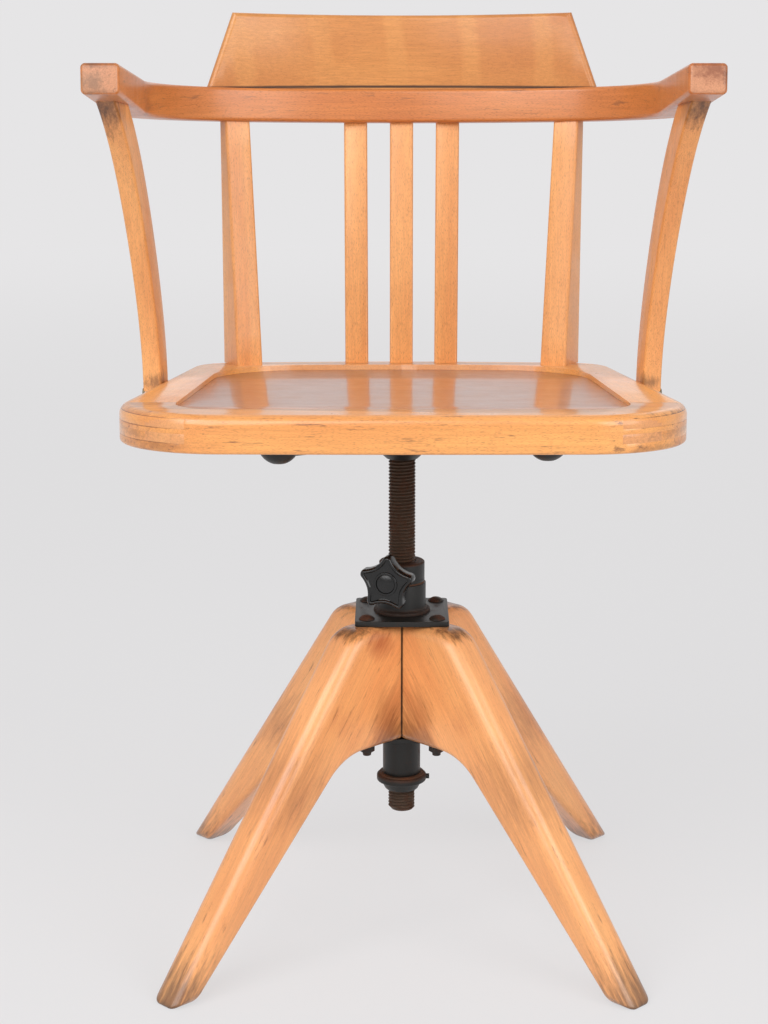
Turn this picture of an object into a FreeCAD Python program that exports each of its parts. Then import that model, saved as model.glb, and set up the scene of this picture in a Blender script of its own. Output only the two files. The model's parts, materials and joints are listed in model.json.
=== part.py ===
import FreeCAD, Part
import math
import os

# Wooden swivel armchair: four splayed legs, screw-adjusted seat, bow-shaped arms and back rail.
# Millimetres. The swivel axis is x = 0, y = 0 while modelling, the floor is z = 0 and the front faces -Y.

Vector = FreeCAD.Vector
UP = Vector(0, 0, 1)
ACROSS = Vector(1, 0, 0)

# Legs
leg_count = 4
leg_first_angle = 225.0
leg_thickness = 39.0
leg_reach = 302.0
leg_foot_length = 25.0
leg_top = 302.0
leg_core_height = 116.0
leg_shoulder = 76.0
leg_arch_start = 92.0
leg_shoulder_round = 32.0
leg_arch_round = 60.0
leg_outer_edge_round = 13.0
leg_inner_edge_round = 7.0
leg_foot_edge_round = 2.0

# Hub housing, fixed to the legs
top_plate_size = 88.0
top_plate_thickness = 5.0
top_plate_corner = 4.0
sleeve_radius = 22.7
sleeve_rise = 28.0
sleeve_depth = 46.0
sleeve_weld = 4.5
bottom_plate_size = 52.0
bottom_plate_thickness = 4.0
lower_tube_radius = 18.0
lower_tube_drop = 37.0
lower_tube_depth = 26.0
hub_bore_clearance = 0.3
bush_wall = 1.8
bush_flange_gap = 1.0

# Through bolts of the hub
hub_bolt_offset = 33.0
hub_bolt_radius = 4.0
hub_bolt_hole_clearance = 0.5
hub_bolt_head_radius = 8.0
hub_bolt_head_height = 4.0
hub_washer_radius = 9.0
hub_washer_thickness = 2.0
hub_nut_across_flats = 13.0
hub_nut_height = 7.0
hub_bolt_tail = 4.0

# Screw spindle
spindle_radius = 12.7
thread_pitch = 3.175
thread_depth = 1.4
thread_crest = 0.32
spindle_end_chamfer = 2.0
spindle_bottom = 108.0
spindle_top_gap = 8.0

# Quill, the tube that turns in the hub
quill_radius = 15.0
quill_bore_clearance = 0.8
running_clearance = 0.06
thrust_washer_thickness = 1.5
quill_flange_radius = 21.5
quill_flange_thickness = 3.0
collar_radius = 23.8
collar_height = 14.0
collar_flange_height = 6.5
collar_hub_top_radius = 20.0
collar_hub_bottom_radius = 16.0
collar_edge_round = 1.5
quill_tail = 1.0
set_screw_radius = 2.5
set_screw_proud = 3.0

# Height nut and its clamp
nut_radius = 21.5
nut_height = 16.0
nut_edge_chamfer = 1.0
clamp_turn = -17.0
clamp_drop = 2.5
clamp_stud_radius = 4.0
clamp_pad_radius = 3.9
clamp_pad_length = 3.0
clamp_pad_gap = 0.3
clamp_travel = 0.9
knob_seat = 33.0
knob_neck_length = 6.0
knob_neck_radius = 9.0
knob_body_length = 15.0
knob_lobe_count = 5
knob_turn = -3.3
knob_tip_radius = 4.6
knob_tip_circle = 21.8
knob_tip_turn = 62.0
knob_valley_radius = 18.2
knob_edge_round = 2.5
knob_recess_radius = 10.6
knob_recess_depth = 1.5
knob_disc_radius = 8.8
knob_disc_height = 0.8

# Seat, modelled level on its underside and then sloped back
seat_slope = 2.7
seat_underside = 490.0
seat_thickness = 33.0
seat_front = 217.0
seat_front_bow = 4.0
seat_front_half_width = 259.5
seat_rear = 197.0
seat_rear_bow = 18.0
seat_rear_half_width = 208.0
seat_front_corner = 95.0
seat_rear_corner = 45.0
seat_edge_round = 9.0
seat_lower_edge_round = 3.0
panel_front = 176.0
panel_front_half_width = 200.0
panel_front_bow = 0.5
panel_rear = 162.0
panel_rear_bow = 14.0
panel_rear_half_width = 178.0
panel_front_corner = 40.0
panel_rear_corner = 92.0
panel_thickness = 12.0
panel_rebate = 10.0
panel_drop = 5.0
panel_drop_steps = ((-160.0, 0.0), (-140.0, 2.4), (-70.0, 4.2))
panel_dish_depth = 3.5
panel_dish_radius = 2600.0
rear_joint_depth = 180.0
finger_reach = 183.0
finger_start = 130.0
finger_height = 8.0
finger_tops = (29.0, 16.5)
batten_offset = 115.0
batten_width = 44.0

# Spider, the iron cross under the seat
spider_turn = 4.7
spider_reach = 168.0
spider_hub_radius = 21.5
spider_hub_drop = 29.5
spider_nose_drop = 6.0
spider_nose_radius = 15.0
spider_hub_rise = 28.0
spider_pad_radius = 17.0
spider_pad_height = 22.0
spider_pad_dome = 11.0
spider_arm_width = 18.0
spider_arm_root_height = 16.0
spider_arm_root_drop = 6.0
spider_arm_tip_height = 11.0
spider_arm_gap = 4.0
spider_arm_edge_round = 3.0
spider_screw_radius = 3.0
spider_screw_length = 16.0
spider_screw_head_radius = 6.0
spider_screw_head_height = 3.0
spider_screw_head_sunk = 2.0

# Bow, one bent piece that makes the back rail and both arms
bow_slope = 4.9
bow_above_seat = 299.4
bow_pivot = 190.0
bow_height = 33.0
bow_front_face = 222.0
bow_rear_radius = 446.0
bow_rear_thickness = 24.5
bow_rear_turn = 21.2
bow_arm_turn = 91.0
bow_bend_radius = 123.0
bow_arm_width = 32.5
bow_arm_end = 160.0
bow_arm_end_height = 25.8
bow_arm_taper_start = 70.0
bow_edge_round = 4.0

# Crest board on the back rail
crest_height = 73.0
crest_bottom_width = 385.0
crest_top_width = 335.0
crest_thickness = 19.0
crest_setback = 3.0
crest_edge_round = 5.0
crest_dowel_radius = 4.0
crest_dowel_length = 30.0
crest_dowel_spacing = 120.0

# Back posts and slats
tenon_length = 14.0
tenon_clearance = 0.1
back_post_turn = 25.0
back_post_bottom = (160.4, 187.0)
back_post_top = (166.2, 203.0)
back_post_middle_bow = 2.0
back_post_bottom_size = (27.5, 42.0)
back_post_top_size = (26.0, 15.0)
back_post_tenon_radius = 7.0
slat_width = 23.4
slat_thickness = 11.0
slat_bottom_spacing = 45.3
slat_top_spacing = 46.4
slat_bottom_y = 200.0
slat_top_y = 234.0
slat_tenon_radius = 4.0
post_edge_round = 2.5
upright_overrun = 22.0

# Arm posts on the outer sides of the seat
arm_post_thickness = 18.0
arm_post_foot_y = 52.0
arm_post_foot_depth = 30.0
arm_post_head_y = -72.0
arm_post_head_depth = 44.0
arm_post_foot_drop = 4.0
arm_post_head_shift = 255.5
arm_post_path = ((0.22, 0.22, 0.42), (0.55, 0.58, 0.76))
arm_post_swell = (3.0, 8.0)
arm_post_overrun = (1.0, -15.0, 12.0)
arm_post_screw_radius = 2.5
arm_post_screw_length = 34.0
arm_post_screw_head_radius = 4.5
arm_post_screw_head_height = 2.5
arm_post_screw_proud = 0.6
arm_post_screw_step = 4.0
arm_post_screw_spread = 9.0


def cylinder(radius, low, high, x=0.0, y=0.0):
    return Part.makeCylinder(radius, high - low, Vector(x, y, low), UP)


def tube(outer, inner, low, high):
    return cylinder(outer, low, high).cut(cylinder(inner, low, high))


def block(x0, x1, y0, y1, z0, z1):
    return Part.makeBox(x1 - x0, y1 - y0, z1 - z0, Vector(x0, y0, z0))


def hexagon(across_flats, low, high, x, y):
    radius = across_flats / math.sqrt(3.0)
    corners = []
    for index in range(7):
        angle = math.radians(60 * index)
        corners.append(Vector(x + radius * math.cos(angle), y + radius * math.sin(angle), low))
    return Part.Face(Part.makePolygon(corners)).extrude(Vector(0, 0, high - low))


def clean(shape):
    solids = sorted(shape.removeSplitter().Solids, key=lambda solid: -solid.Volume)
    return solids[0]


def fillet(shape, radius, chosen):
    edges = [edge for edge in shape.Edges if chosen(edge)]
    return shape.makeFillet(radius, edges)


def middle(edge):
    first, last = edge.ParameterRange
    return edge.valueAt((first + last) / 2.0)


# Levels that follow the seat
spindle_top = seat_underside - spindle_top_gap
spider_hub_bottom = seat_underside - spider_hub_drop
bow_top = seat_underside + bow_above_seat

# A length past every piece, for the blocks that cut
beyond = leg_reach + bow_top


# Slopes

def on_seat(shape):
    """Take a shape modelled on a level seat underside at z = 0 to its sloped place."""
    placed = shape.copy()
    placed.rotate(Vector(0, 0, 0), ACROSS, -seat_slope)
    placed.translate(Vector(0, 0, seat_underside))
    return placed


def on_bow(shape):
    """Take a shape modelled on a level bow with its top at z = 0 to its sloped place."""
    placed = shape.copy()
    placed.rotate(Vector(0, bow_pivot, 0), ACROSS, -bow_slope)
    placed.translate(Vector(0, 0, bow_top))
    return placed


def seat_point(x, y, z):
    return on_seat(Part.Vertex(x, y, z)).Point


def bow_point(x, y, z):
    return on_bow(Part.Vertex(x, y, z)).Point


# Levels along the swivel axis, worked out upwards and downwards from the legs
leg_underside = leg_top - leg_core_height
top_plate_top = leg_top + top_plate_thickness
sleeve_top = top_plate_top + sleeve_rise
sleeve_bottom = leg_top - sleeve_depth
bush_radius = quill_radius + running_clearance + bush_wall
bottom_plate_bottom = leg_underside - bottom_plate_thickness
lower_tube_bottom = bottom_plate_bottom - lower_tube_drop
lower_tube_top = leg_underside + lower_tube_depth
quill_flange_bottom = sleeve_top + thrust_washer_thickness
nut_bottom = quill_flange_bottom + quill_flange_thickness
nut_top = nut_bottom + nut_height
clamp_level = nut_bottom + nut_height / 2.0 - clamp_drop
collar_top = lower_tube_bottom - thrust_washer_thickness
collar_bottom = collar_top - collar_height
quill_bottom = collar_bottom - quill_tail


def make_leg(angle):
    outline = [
        (0.0, leg_top),
        (leg_shoulder, leg_top),
        (leg_reach, 0.0),
        (leg_reach - leg_foot_length, 0.0),
        (leg_arch_start, leg_underside),
        (0.0, leg_underside),
    ]
    points = [Vector(r, -leg_thickness / 2.0, z) for r, z in outline]
    leg = Part.Face(Part.makePolygon(points + points[:1])).extrude(Vector(0, leg_thickness, 0))

    def at(r, z):
        return lambda edge: abs(middle(edge).x - r) < 0.01 and abs(middle(edge).z - z) < 0.01

    leg = fillet(leg, leg_shoulder_round, at(leg_shoulder, leg_top))
    leg = fillet(leg, leg_arch_round, at(leg_arch_start, leg_underside))

    def on_side(edge):
        return abs(abs(middle(edge).y) - leg_thickness / 2.0) < 0.01

    def on_outer_line(edge):
        point = middle(edge)
        return on_side(edge) and point.x > 1.0 and point.z > leg_outer_line(point.x) - leg_thickness / 2.0

    def on_inner_line(edge):
        point = middle(edge)
        return on_side(edge) and 1.0 < point.x < leg_reach - leg_foot_length and not on_outer_line(edge)

    def leg_outer_line(r):
        along = (r - leg_shoulder) / (leg_reach - leg_shoulder)
        return leg_top * (1.0 - max(along, 0.0))

    leg = fillet(leg, leg_outer_edge_round, on_outer_line)
    leg = fillet(leg, leg_inner_edge_round, on_inner_line)
    leg = fillet(leg, leg_foot_edge_round, lambda edge: edge.BoundBox.ZMax < 0.01)
    leg.rotate(Vector(0, 0, 0), UP, angle)
    side_x = math.copysign(1.0, math.cos(math.radians(angle)))
    side_y = math.copysign(1.0, math.sin(math.radians(angle)))
    x0, x1 = sorted((0.0, side_x * beyond))
    y0, y1 = sorted((0.0, side_y * beyond))
    quarter = block(x0, x1, y0, y1, 0.0, beyond)
    leg = leg.common(quarter)
    leg = leg.cut(cylinder(sleeve_radius + hub_bore_clearance, leg_underside, leg_top))
    hole_radius = hub_bolt_radius + hub_bolt_hole_clearance
    x = side_x * hub_bolt_offset
    y = side_y * hub_bolt_offset
    return clean(leg.cut(cylinder(hole_radius, leg_underside, leg_top, x, y)))


def bolt_places():
    return [(sx * hub_bolt_offset, sy * hub_bolt_offset) for sx in (-1, 1) for sy in (-1, 1)]


def square_plate(size, low, high):
    half = size / 2.0
    plate = block(-half, half, -half, half, low, high)
    return fillet(plate, top_plate_corner, lambda edge: edge.BoundBox.ZLength > 0.5)


def make_hub_top_plate():
    body = square_plate(top_plate_size, leg_top, top_plate_top)
    body = body.cut(cylinder(sleeve_radius, leg_top, top_plate_top))
    for x, y in bolt_places():
        body = body.cut(cylinder(hub_bolt_radius + hub_bolt_hole_clearance, leg_top, top_plate_top, x, y))
    return clean(body)


def make_hub_sleeve():
    """The sleeve through the top plate, with the weld round its foot."""
    weld_foot = Vector(0, 0, top_plate_top)
    weld = Part.makeCone(sleeve_radius + sleeve_weld, sleeve_radius, sleeve_weld, weld_foot, UP)
    body = cylinder(sleeve_radius, sleeve_bottom, sleeve_top).fuse(weld)
    return clean(body.cut(cylinder(bush_radius, sleeve_bottom, sleeve_top)))


def make_hub_bottom_plate():
    plate = square_plate(bottom_plate_size, bottom_plate_bottom, leg_underside)
    body = plate.fuse(cylinder(lower_tube_radius, lower_tube_bottom, lower_tube_top))
    return clean(body.cut(cylinder(bush_radius, lower_tube_bottom, lower_tube_top)))


def make_bush(low, high):
    return tube(bush_radius, quill_radius + running_clearance, low, high)


def make_hub_bolts():
    solids = []
    low = leg_underside - hub_washer_thickness - hub_nut_height - hub_bolt_tail
    for x, y in bolt_places():
        shank = cylinder(hub_bolt_radius, low, top_plate_top, x, y)
        dome_radius = (hub_bolt_head_radius**2 + hub_bolt_head_height**2) / (2.0 * hub_bolt_head_height)
        centre = Vector(x, y, top_plate_top + hub_bolt_head_height - dome_radius)
        dome = Part.makeSphere(dome_radius, centre)
        head = dome.common(cylinder(dome_radius, top_plate_top, top_plate_top + dome_radius, x, y))
        solids.append(clean(shank.fuse(head)))
    return Part.makeCompound(solids)


def make_hub_washers():
    low = leg_underside - hub_washer_thickness
    hole = hub_bolt_radius + hub_bolt_hole_clearance
    washers = [
        cylinder(hub_washer_radius, low, leg_underside, x, y).cut(cylinder(hole, low, leg_underside, x, y))
        for x, y in bolt_places()
    ]
    return Part.makeCompound(washers)


def make_hub_nuts():
    high = leg_underside - hub_washer_thickness
    low = high - hub_nut_height
    nuts = [
        hexagon(hub_nut_across_flats, low, high, x, y).cut(cylinder(hub_bolt_radius, low, high, x, y))
        for x, y in bolt_places()
    ]
    return Part.makeCompound(nuts)


def make_spindle():
    """Revolve a sawtooth of grooves, one to each pitch of the thread."""
    points = [Vector(0, 0, spindle_bottom), Vector(spindle_radius - spindle_end_chamfer, 0, spindle_bottom)]
    level = spindle_bottom + spindle_end_chamfer
    threaded_top = spider_hub_bottom - spider_nose_drop
    points.append(Vector(spindle_radius, 0, level))
    while level + thread_pitch < threaded_top:
        points.append(Vector(spindle_radius - thread_depth, 0, level + (thread_pitch - thread_crest) / 2.0))
        points.append(Vector(spindle_radius, 0, level + thread_pitch - thread_crest))
        level += thread_pitch
        points.append(Vector(spindle_radius, 0, level))
    points.append(Vector(spindle_radius, 0, spindle_top))
    points.append(Vector(0, 0, spindle_top))
    face = Part.Face(Part.makePolygon(points + points[:1]))
    return face.revolve(Vector(0, 0, 0), UP, 360)


def make_quill():
    body = cylinder(quill_radius, quill_bottom, quill_flange_bottom)
    body = body.fuse(cylinder(quill_flange_radius, quill_flange_bottom, nut_bottom))
    return clean(body.cut(cylinder(spindle_radius + quill_bore_clearance, quill_bottom, nut_bottom)))


def make_thrust_washer(low):
    return tube(quill_flange_radius, quill_radius, low, low + thrust_washer_thickness)


def collar_screw_level():
    return collar_top - collar_flange_height / 2.0


def make_collar():
    """A flange over a hub that narrows downwards."""
    hub_height = collar_height - collar_flange_height
    base = Vector(0, 0, collar_bottom)
    body = Part.makeCone(collar_hub_bottom_radius, collar_hub_top_radius, hub_height, base, UP)
    body = clean(body.fuse(cylinder(collar_radius, collar_bottom + hub_height, collar_top)))
    body = fillet(body, collar_edge_round, lambda edge: edge.BoundBox.XLength > 2.0 * collar_radius - 0.1)
    body = body.cut(cylinder(quill_radius, collar_bottom, collar_top))
    hole = Part.makeCylinder(set_screw_radius, 2.0 * collar_radius, Vector(0, 0, collar_screw_level()), ACROSS)
    return clean(body.cut(hole))


def make_collar_set_screw():
    length = collar_radius + set_screw_proud - quill_radius
    return Part.makeCylinder(set_screw_radius, length, Vector(quill_radius, 0, collar_screw_level()), ACROSS)


def clamp_direction():
    angle = math.radians(-90.0 + clamp_turn)
    return Vector(math.cos(angle), math.sin(angle), 0)


def along_clamp(distance):
    return clamp_direction() * distance + Vector(0, 0, clamp_level)


def make_height_nut():
    body = tube(nut_radius, spindle_radius + running_clearance, nut_bottom, nut_top)
    rim = [
        edge
        for edge in body.Edges
        if edge.BoundBox.ZMin > nut_top - 0.1 and edge.BoundBox.XLength > 2.0 * nut_radius - 0.1
    ]
    body = body.makeChamfer(nut_edge_chamfer, rim)
    hole_radius = clamp_stud_radius + running_clearance
    hole = Part.makeCylinder(hole_radius, knob_seat, along_clamp(0), clamp_direction())
    return clean(body.cut(hole))


def clamp_pad_start():
    return spindle_radius + clamp_pad_gap


def make_clamp_pad():
    start = along_clamp(clamp_pad_start())
    return Part.makeCylinder(clamp_pad_radius, clamp_pad_length, start, clamp_direction())


def make_clamp_stud():
    start = clamp_pad_start() + clamp_pad_length
    end = knob_seat + knob_neck_length
    return Part.makeCylinder(clamp_stud_radius, end - start, along_clamp(start), clamp_direction())


def knob_point(circle, degrees, offset=0.0, offset_degrees=0.0):
    """A point at an angle on a circle, and from there a second step at its own angle."""
    angle = math.radians(degrees)
    second = math.radians(offset_degrees)
    x = circle * math.cos(angle) + offset * math.cos(second)
    y = circle * math.sin(angle) + offset * math.sin(second)
    return Vector(x, y, 0)


def knob_outline():
    """A star with round tips and slightly hollow sides."""
    step = 360.0 / knob_lobe_count
    edges = []
    for index in range(knob_lobe_count):
        tip = 90.0 + knob_turn + index * step
        start = knob_point(knob_tip_circle, tip, knob_tip_radius, tip - knob_tip_turn)
        top = knob_point(knob_tip_circle + knob_tip_radius, tip)
        end = knob_point(knob_tip_circle, tip, knob_tip_radius, tip + knob_tip_turn)
        valley = knob_point(knob_valley_radius, tip + step / 2.0)
        following = knob_point(knob_tip_circle, tip + step, knob_tip_radius, tip + step - knob_tip_turn)
        edges.append(Part.Arc(start, top, end).toShape())
        edges.append(Part.Arc(end, valley, following).toShape())
    return Part.Face(Part.Wire(edges))


def make_clamp_knob():
    """Build the star knob about +Z, then lay it along the clamp's axis."""
    low = knob_neck_length
    high = low + knob_body_length
    body = knob_outline().extrude(Vector(0, 0, knob_body_length))
    body.translate(Vector(0, 0, low))
    body = fillet(body, knob_edge_round, lambda edge: edge.BoundBox.ZLength < 0.01)
    body = body.cut(cylinder(knob_recess_radius, high - knob_recess_depth, high))
    body = body.fuse(
        cylinder(knob_disc_radius, high - knob_recess_depth, high - knob_recess_depth + knob_disc_height)
    )
    body = body.fuse(cylinder(knob_neck_radius, 0, low))
    body = body.cut(cylinder(clamp_stud_radius, 0, knob_neck_length))
    body = clean(body)
    body.rotate(Vector(0, 0, 0), ACROSS, 90)
    body.rotate(Vector(0, 0, 0), UP, clamp_turn)
    body.translate(along_clamp(knob_seat))
    return body


# Seat

def bowed_outline(front, front_bow, front_half, rear, rear_bow, rear_half):
    """A four-sided outline with bowed front and rear edges, symmetric about x = 0."""
    front_left = Vector(-front_half, -front, 0)
    front_right = Vector(front_half, -front, 0)
    rear_right = Vector(rear_half, rear, 0)
    rear_left = Vector(-rear_half, rear, 0)
    edges = [
        Part.Arc(front_left, Vector(0, -front - front_bow, 0), front_right).toShape(),
        Part.LineSegment(front_right, rear_right).toShape(),
        Part.Arc(rear_right, Vector(0, rear + rear_bow, 0), rear_left).toShape(),
        Part.LineSegment(rear_left, front_left).toShape(),
    ]
    return Part.Face(Part.Wire(edges))


def make_seat_blank():
    face = bowed_outline(
        seat_front, seat_front_bow, seat_front_half_width, seat_rear, seat_rear_bow, seat_rear_half_width
    )
    prism = face.extrude(Vector(0, 0, seat_thickness))
    front = [e for e in prism.Edges if e.BoundBox.ZLength > 1 and middle(e).y < 0]
    prism = prism.makeFillet(seat_front_corner, front)
    corners = [
        e
        for e in prism.Edges
        if e.BoundBox.ZLength > 1
        and middle(e).y > seat_rear - 1
        and abs(middle(e).x) > seat_rear_half_width - 1
    ]
    prism = prism.makeFillet(seat_rear_corner, corners)
    rims = [e for e in prism.Edges if e.BoundBox.ZMin > seat_thickness - 0.01]
    prism = prism.makeFillet(seat_edge_round, rims)
    return fillet(prism, seat_lower_edge_round, lambda edge: edge.BoundBox.ZMax < 0.01)


def panel_prism(inset, low, high):
    face = bowed_outline(
        panel_front - inset,
        panel_front_bow,
        panel_front_half_width - inset,
        panel_rear - inset,
        panel_rear_bow,
        panel_rear_half_width - inset,
    )
    prism = face.extrude(Vector(0, 0, high - low))
    prism.translate(Vector(0, 0, low))
    front = [e for e in prism.Edges if e.BoundBox.ZLength > 1 and middle(e).y < 0]
    prism = prism.makeFillet(panel_front_corner - inset, front)
    rear_corner_y = panel_rear - inset - 1
    corners = [
        e
        for e in prism.Edges
        if e.BoundBox.ZLength > 1
        and middle(e).y > rear_corner_y
        and abs(middle(e).x) > panel_rear_half_width - inset - 1
    ]
    return prism.makeFillet(panel_rear_corner - inset, corners)


def make_seat_pocket():
    """The shallow hollow above the panel: nothing at the front, full depth at the back."""
    profile = [Vector(-beyond, y, seat_thickness - drop) for y, drop in panel_drop_steps]
    profile += [
        Vector(-beyond, panel_rear + panel_rear_bow, seat_thickness - panel_drop),
        Vector(-beyond, beyond, seat_thickness - panel_drop),
        Vector(-beyond, beyond, seat_thickness + panel_thickness),
        Vector(-beyond, panel_drop_steps[0][0], seat_thickness + panel_thickness),
    ]
    wedge = Part.Face(Part.makePolygon(profile + profile[:1])).extrude(Vector(2.0 * beyond, 0, 0))
    return wedge.common(panel_prism(0, seat_thickness - panel_thickness, seat_thickness + panel_thickness))


def make_seat_frame():
    frame = make_seat_blank()
    frame = frame.cut(panel_prism(0, seat_thickness - panel_thickness, seat_thickness + panel_thickness))
    return clean(frame.cut(panel_prism(panel_rebate, -panel_thickness, seat_thickness)))


def make_seat_panel():
    panel = panel_prism(0, seat_thickness - panel_thickness, seat_thickness)
    panel = panel.cut(make_seat_pocket())
    dish_centre = Vector(0, 0, seat_thickness - panel_drop / 2.0 - panel_dish_depth + panel_dish_radius)
    return clean(panel.cut(Part.makeSphere(panel_dish_radius, dish_centre)))


def corner_fingers(side):
    """The layers of the side rail that reach into the front rail at one corner."""
    x0, x1 = sorted((side * finger_reach, side * beyond))
    layers = [block(x0, x1, -beyond, -finger_start, top - finger_height, top) for top in finger_tops]
    return Part.makeCompound(layers)


def make_seat_rails():
    frame = make_seat_frame()
    rails = {}
    rear = block(-beyond, beyond, rear_joint_depth, beyond, -beyond, beyond)
    rails["seat_rail_rear"] = clean(frame.common(rear))
    ahead = frame.cut(rear)
    front = ahead.common(block(-beyond, beyond, -beyond, -finger_start, -beyond, beyond))
    for name, side in (("seat_rail_left", -1), ("seat_rail_right", 1)):
        x0, x1 = sorted((0.0, side * beyond))
        run = ahead.common(block(x0, x1, -finger_start, beyond, -beyond, beyond))
        fingers = front.common(corner_fingers(side))
        rails[name] = clean(run.fuse(fingers))
        front = front.cut(corner_fingers(side))
    rails["seat_rail_front"] = clean(front)
    return rails


def make_seat_batten(side):
    centre = side * batten_offset
    half = batten_width / 2.0
    strip = block(centre - half, centre + half, -beyond, beyond, 0, seat_thickness - panel_thickness)
    return clean(strip.common(panel_prism(panel_rebate, 0, seat_thickness - panel_thickness)))


# Spider

def spider_places():
    angles = [math.radians(45.0 + 90.0 * index + spider_turn) for index in range(4)]
    return [(spider_reach * math.cos(angle), spider_reach * math.sin(angle)) for angle in angles]


def make_spider_arm():
    """One arm along +X from the hub to its round pad, hanging under z = 0."""
    root = -spider_arm_root_drop
    half = spider_arm_width / 2.0
    profile = [
        Vector(0, -half, root),
        Vector(spider_reach, -half, -spider_arm_gap),
        Vector(spider_reach, -half, -spider_arm_gap - spider_arm_tip_height),
        Vector(0, -half, root - spider_arm_root_height),
    ]
    arm = Part.Face(Part.makePolygon(profile + profile[:1])).extrude(Vector(0, spider_arm_width, 0))
    arm = fillet(arm, spider_arm_edge_round, lambda edge: abs(middle(edge).x - spider_reach / 2.0) < 1.0)
    pad = cylinder(spider_pad_radius, -spider_pad_height, 0, spider_reach)
    dome_radius = (spider_pad_radius**2 + spider_pad_dome**2) / (2.0 * spider_pad_dome)
    dome = Part.makeSphere(dome_radius, Vector(spider_reach, 0, dome_radius - spider_pad_height))
    dome_top = spider_pad_dome - spider_pad_height
    lower = cylinder(2.0 * spider_pad_radius, -spider_pad_height, dome_top, spider_reach)
    pad = pad.cut(lower.cut(dome))
    return arm.fuse(pad)


def make_seat_spider():
    arms = None
    for index in range(4):
        arm = make_spider_arm()
        arm.rotate(Vector(0, 0, 0), UP, 45 + 90 * index + spider_turn)
        arms = arm if arms is None else arms.fuse(arm)
    head_height = spider_screw_head_height
    for x, y in spider_places():
        hole = cylinder(spider_screw_radius, -spider_pad_height, 0, x, y)
        low = -spider_pad_height - head_height
        high = spider_screw_head_sunk + head_height - spider_pad_height
        recess = cylinder(spider_screw_head_radius, low, high, x, y)
        arms = arms.cut([hole, recess])
    arms = on_seat(arms)
    hub = cylinder(spider_hub_radius, spider_hub_bottom, spider_hub_bottom + spider_hub_rise)
    nose = Part.makeCone(
        spider_nose_radius,
        spider_hub_radius,
        spider_nose_drop,
        Vector(0, 0, spider_hub_bottom - spider_nose_drop),
        UP,
    )
    body = arms.fuse([hub, nose])
    below_seat = on_seat(block(-beyond, beyond, -beyond, beyond, -beyond, 0))
    body = body.common(below_seat)
    return clean(body.cut(cylinder(spindle_radius, 0, spindle_top)))


def make_spider_screws():
    solids = []
    for x, y in spider_places():
        head_bottom = spider_screw_head_sunk - spider_pad_height
        head = cylinder(spider_screw_head_radius, head_bottom, head_bottom + spider_screw_head_height, x, y)
        shank = cylinder(spider_screw_radius, head_bottom, spider_screw_length, x, y)
        solids.append(clean(on_seat(head.fuse(shank))))
    return Part.makeCompound(solids)


# Bow and crest

def polar(centre_y, radius, degrees):
    """A point on a circle about (0, centre_y), measured from the +Y direction towards +X."""
    angle = math.radians(degrees)
    return Vector(radius * math.sin(angle), centre_y + radius * math.cos(angle), 0)


def bow_side(rear_radius, bend_radius):
    """Half of one face of the bow in plan: rear arc, bend and the start of the arm."""
    centre_y = bow_front_face - bow_rear_radius
    rear_end = polar(centre_y, rear_radius, bow_rear_turn)
    turn = math.radians(bow_rear_turn)
    bend_centre = rear_end - Vector(math.sin(turn), math.cos(turn), 0) * bend_radius

    def on_bend(degrees):
        angle = math.radians(degrees)
        return bend_centre + Vector(math.sin(angle), math.cos(angle), 0) * bend_radius

    bend_end = on_bend(bow_arm_turn)
    heading = math.radians(bow_arm_turn)
    forward = Vector(math.cos(heading), -math.sin(heading), 0)
    reach = (bend_end.y + bow_arm_end) / math.sin(heading)
    arm_end = bend_end + forward * reach
    return centre_y, rear_end, on_bend((bow_rear_turn + bow_arm_turn) / 2.0), bend_end, arm_end


def outer_bend_radius():
    """The outer bend that leaves the arm at its own width."""
    inner = bow_side(bow_rear_radius, bow_bend_radius)
    start = polar(inner[0], bow_rear_radius + bow_rear_thickness, bow_rear_turn)
    spread = math.sin(math.radians(bow_arm_turn)) - math.sin(math.radians(bow_rear_turn))
    return (inner[3].x + bow_arm_width - start.x) / spread


def bow_curve(rear_radius, bend_radius):
    centre_y, rear_end, bend_middle, bend_end, arm_end = bow_side(rear_radius, bend_radius)

    def flip(point):
        return Vector(-point.x, point.y, 0)

    edges = [
        Part.LineSegment(flip(arm_end), flip(bend_end)).toShape(),
        Part.Arc(flip(bend_end), flip(bend_middle), flip(rear_end)).toShape(),
        Part.Arc(flip(rear_end), polar(centre_y, rear_radius, 0), rear_end).toShape(),
        Part.Arc(rear_end, bend_middle, bend_end).toShape(),
        Part.LineSegment(bend_end, arm_end).toShape(),
    ]
    return edges, flip(arm_end), arm_end


def arm_underside_tool():
    """Everything below the arms' tapered underside, in the level frame of the bow."""
    profile = [
        Vector(-beyond, bow_arm_taper_start, -bow_height),
        Vector(-beyond, -bow_arm_end, -bow_arm_end_height),
        Vector(-beyond, -beyond, -bow_arm_end_height),
        Vector(-beyond, -beyond, -beyond),
        Vector(-beyond, bow_arm_taper_start, -beyond),
    ]
    return Part.Face(Part.makePolygon(profile + profile[:1])).extrude(Vector(2.0 * beyond, 0, 0))


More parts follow.
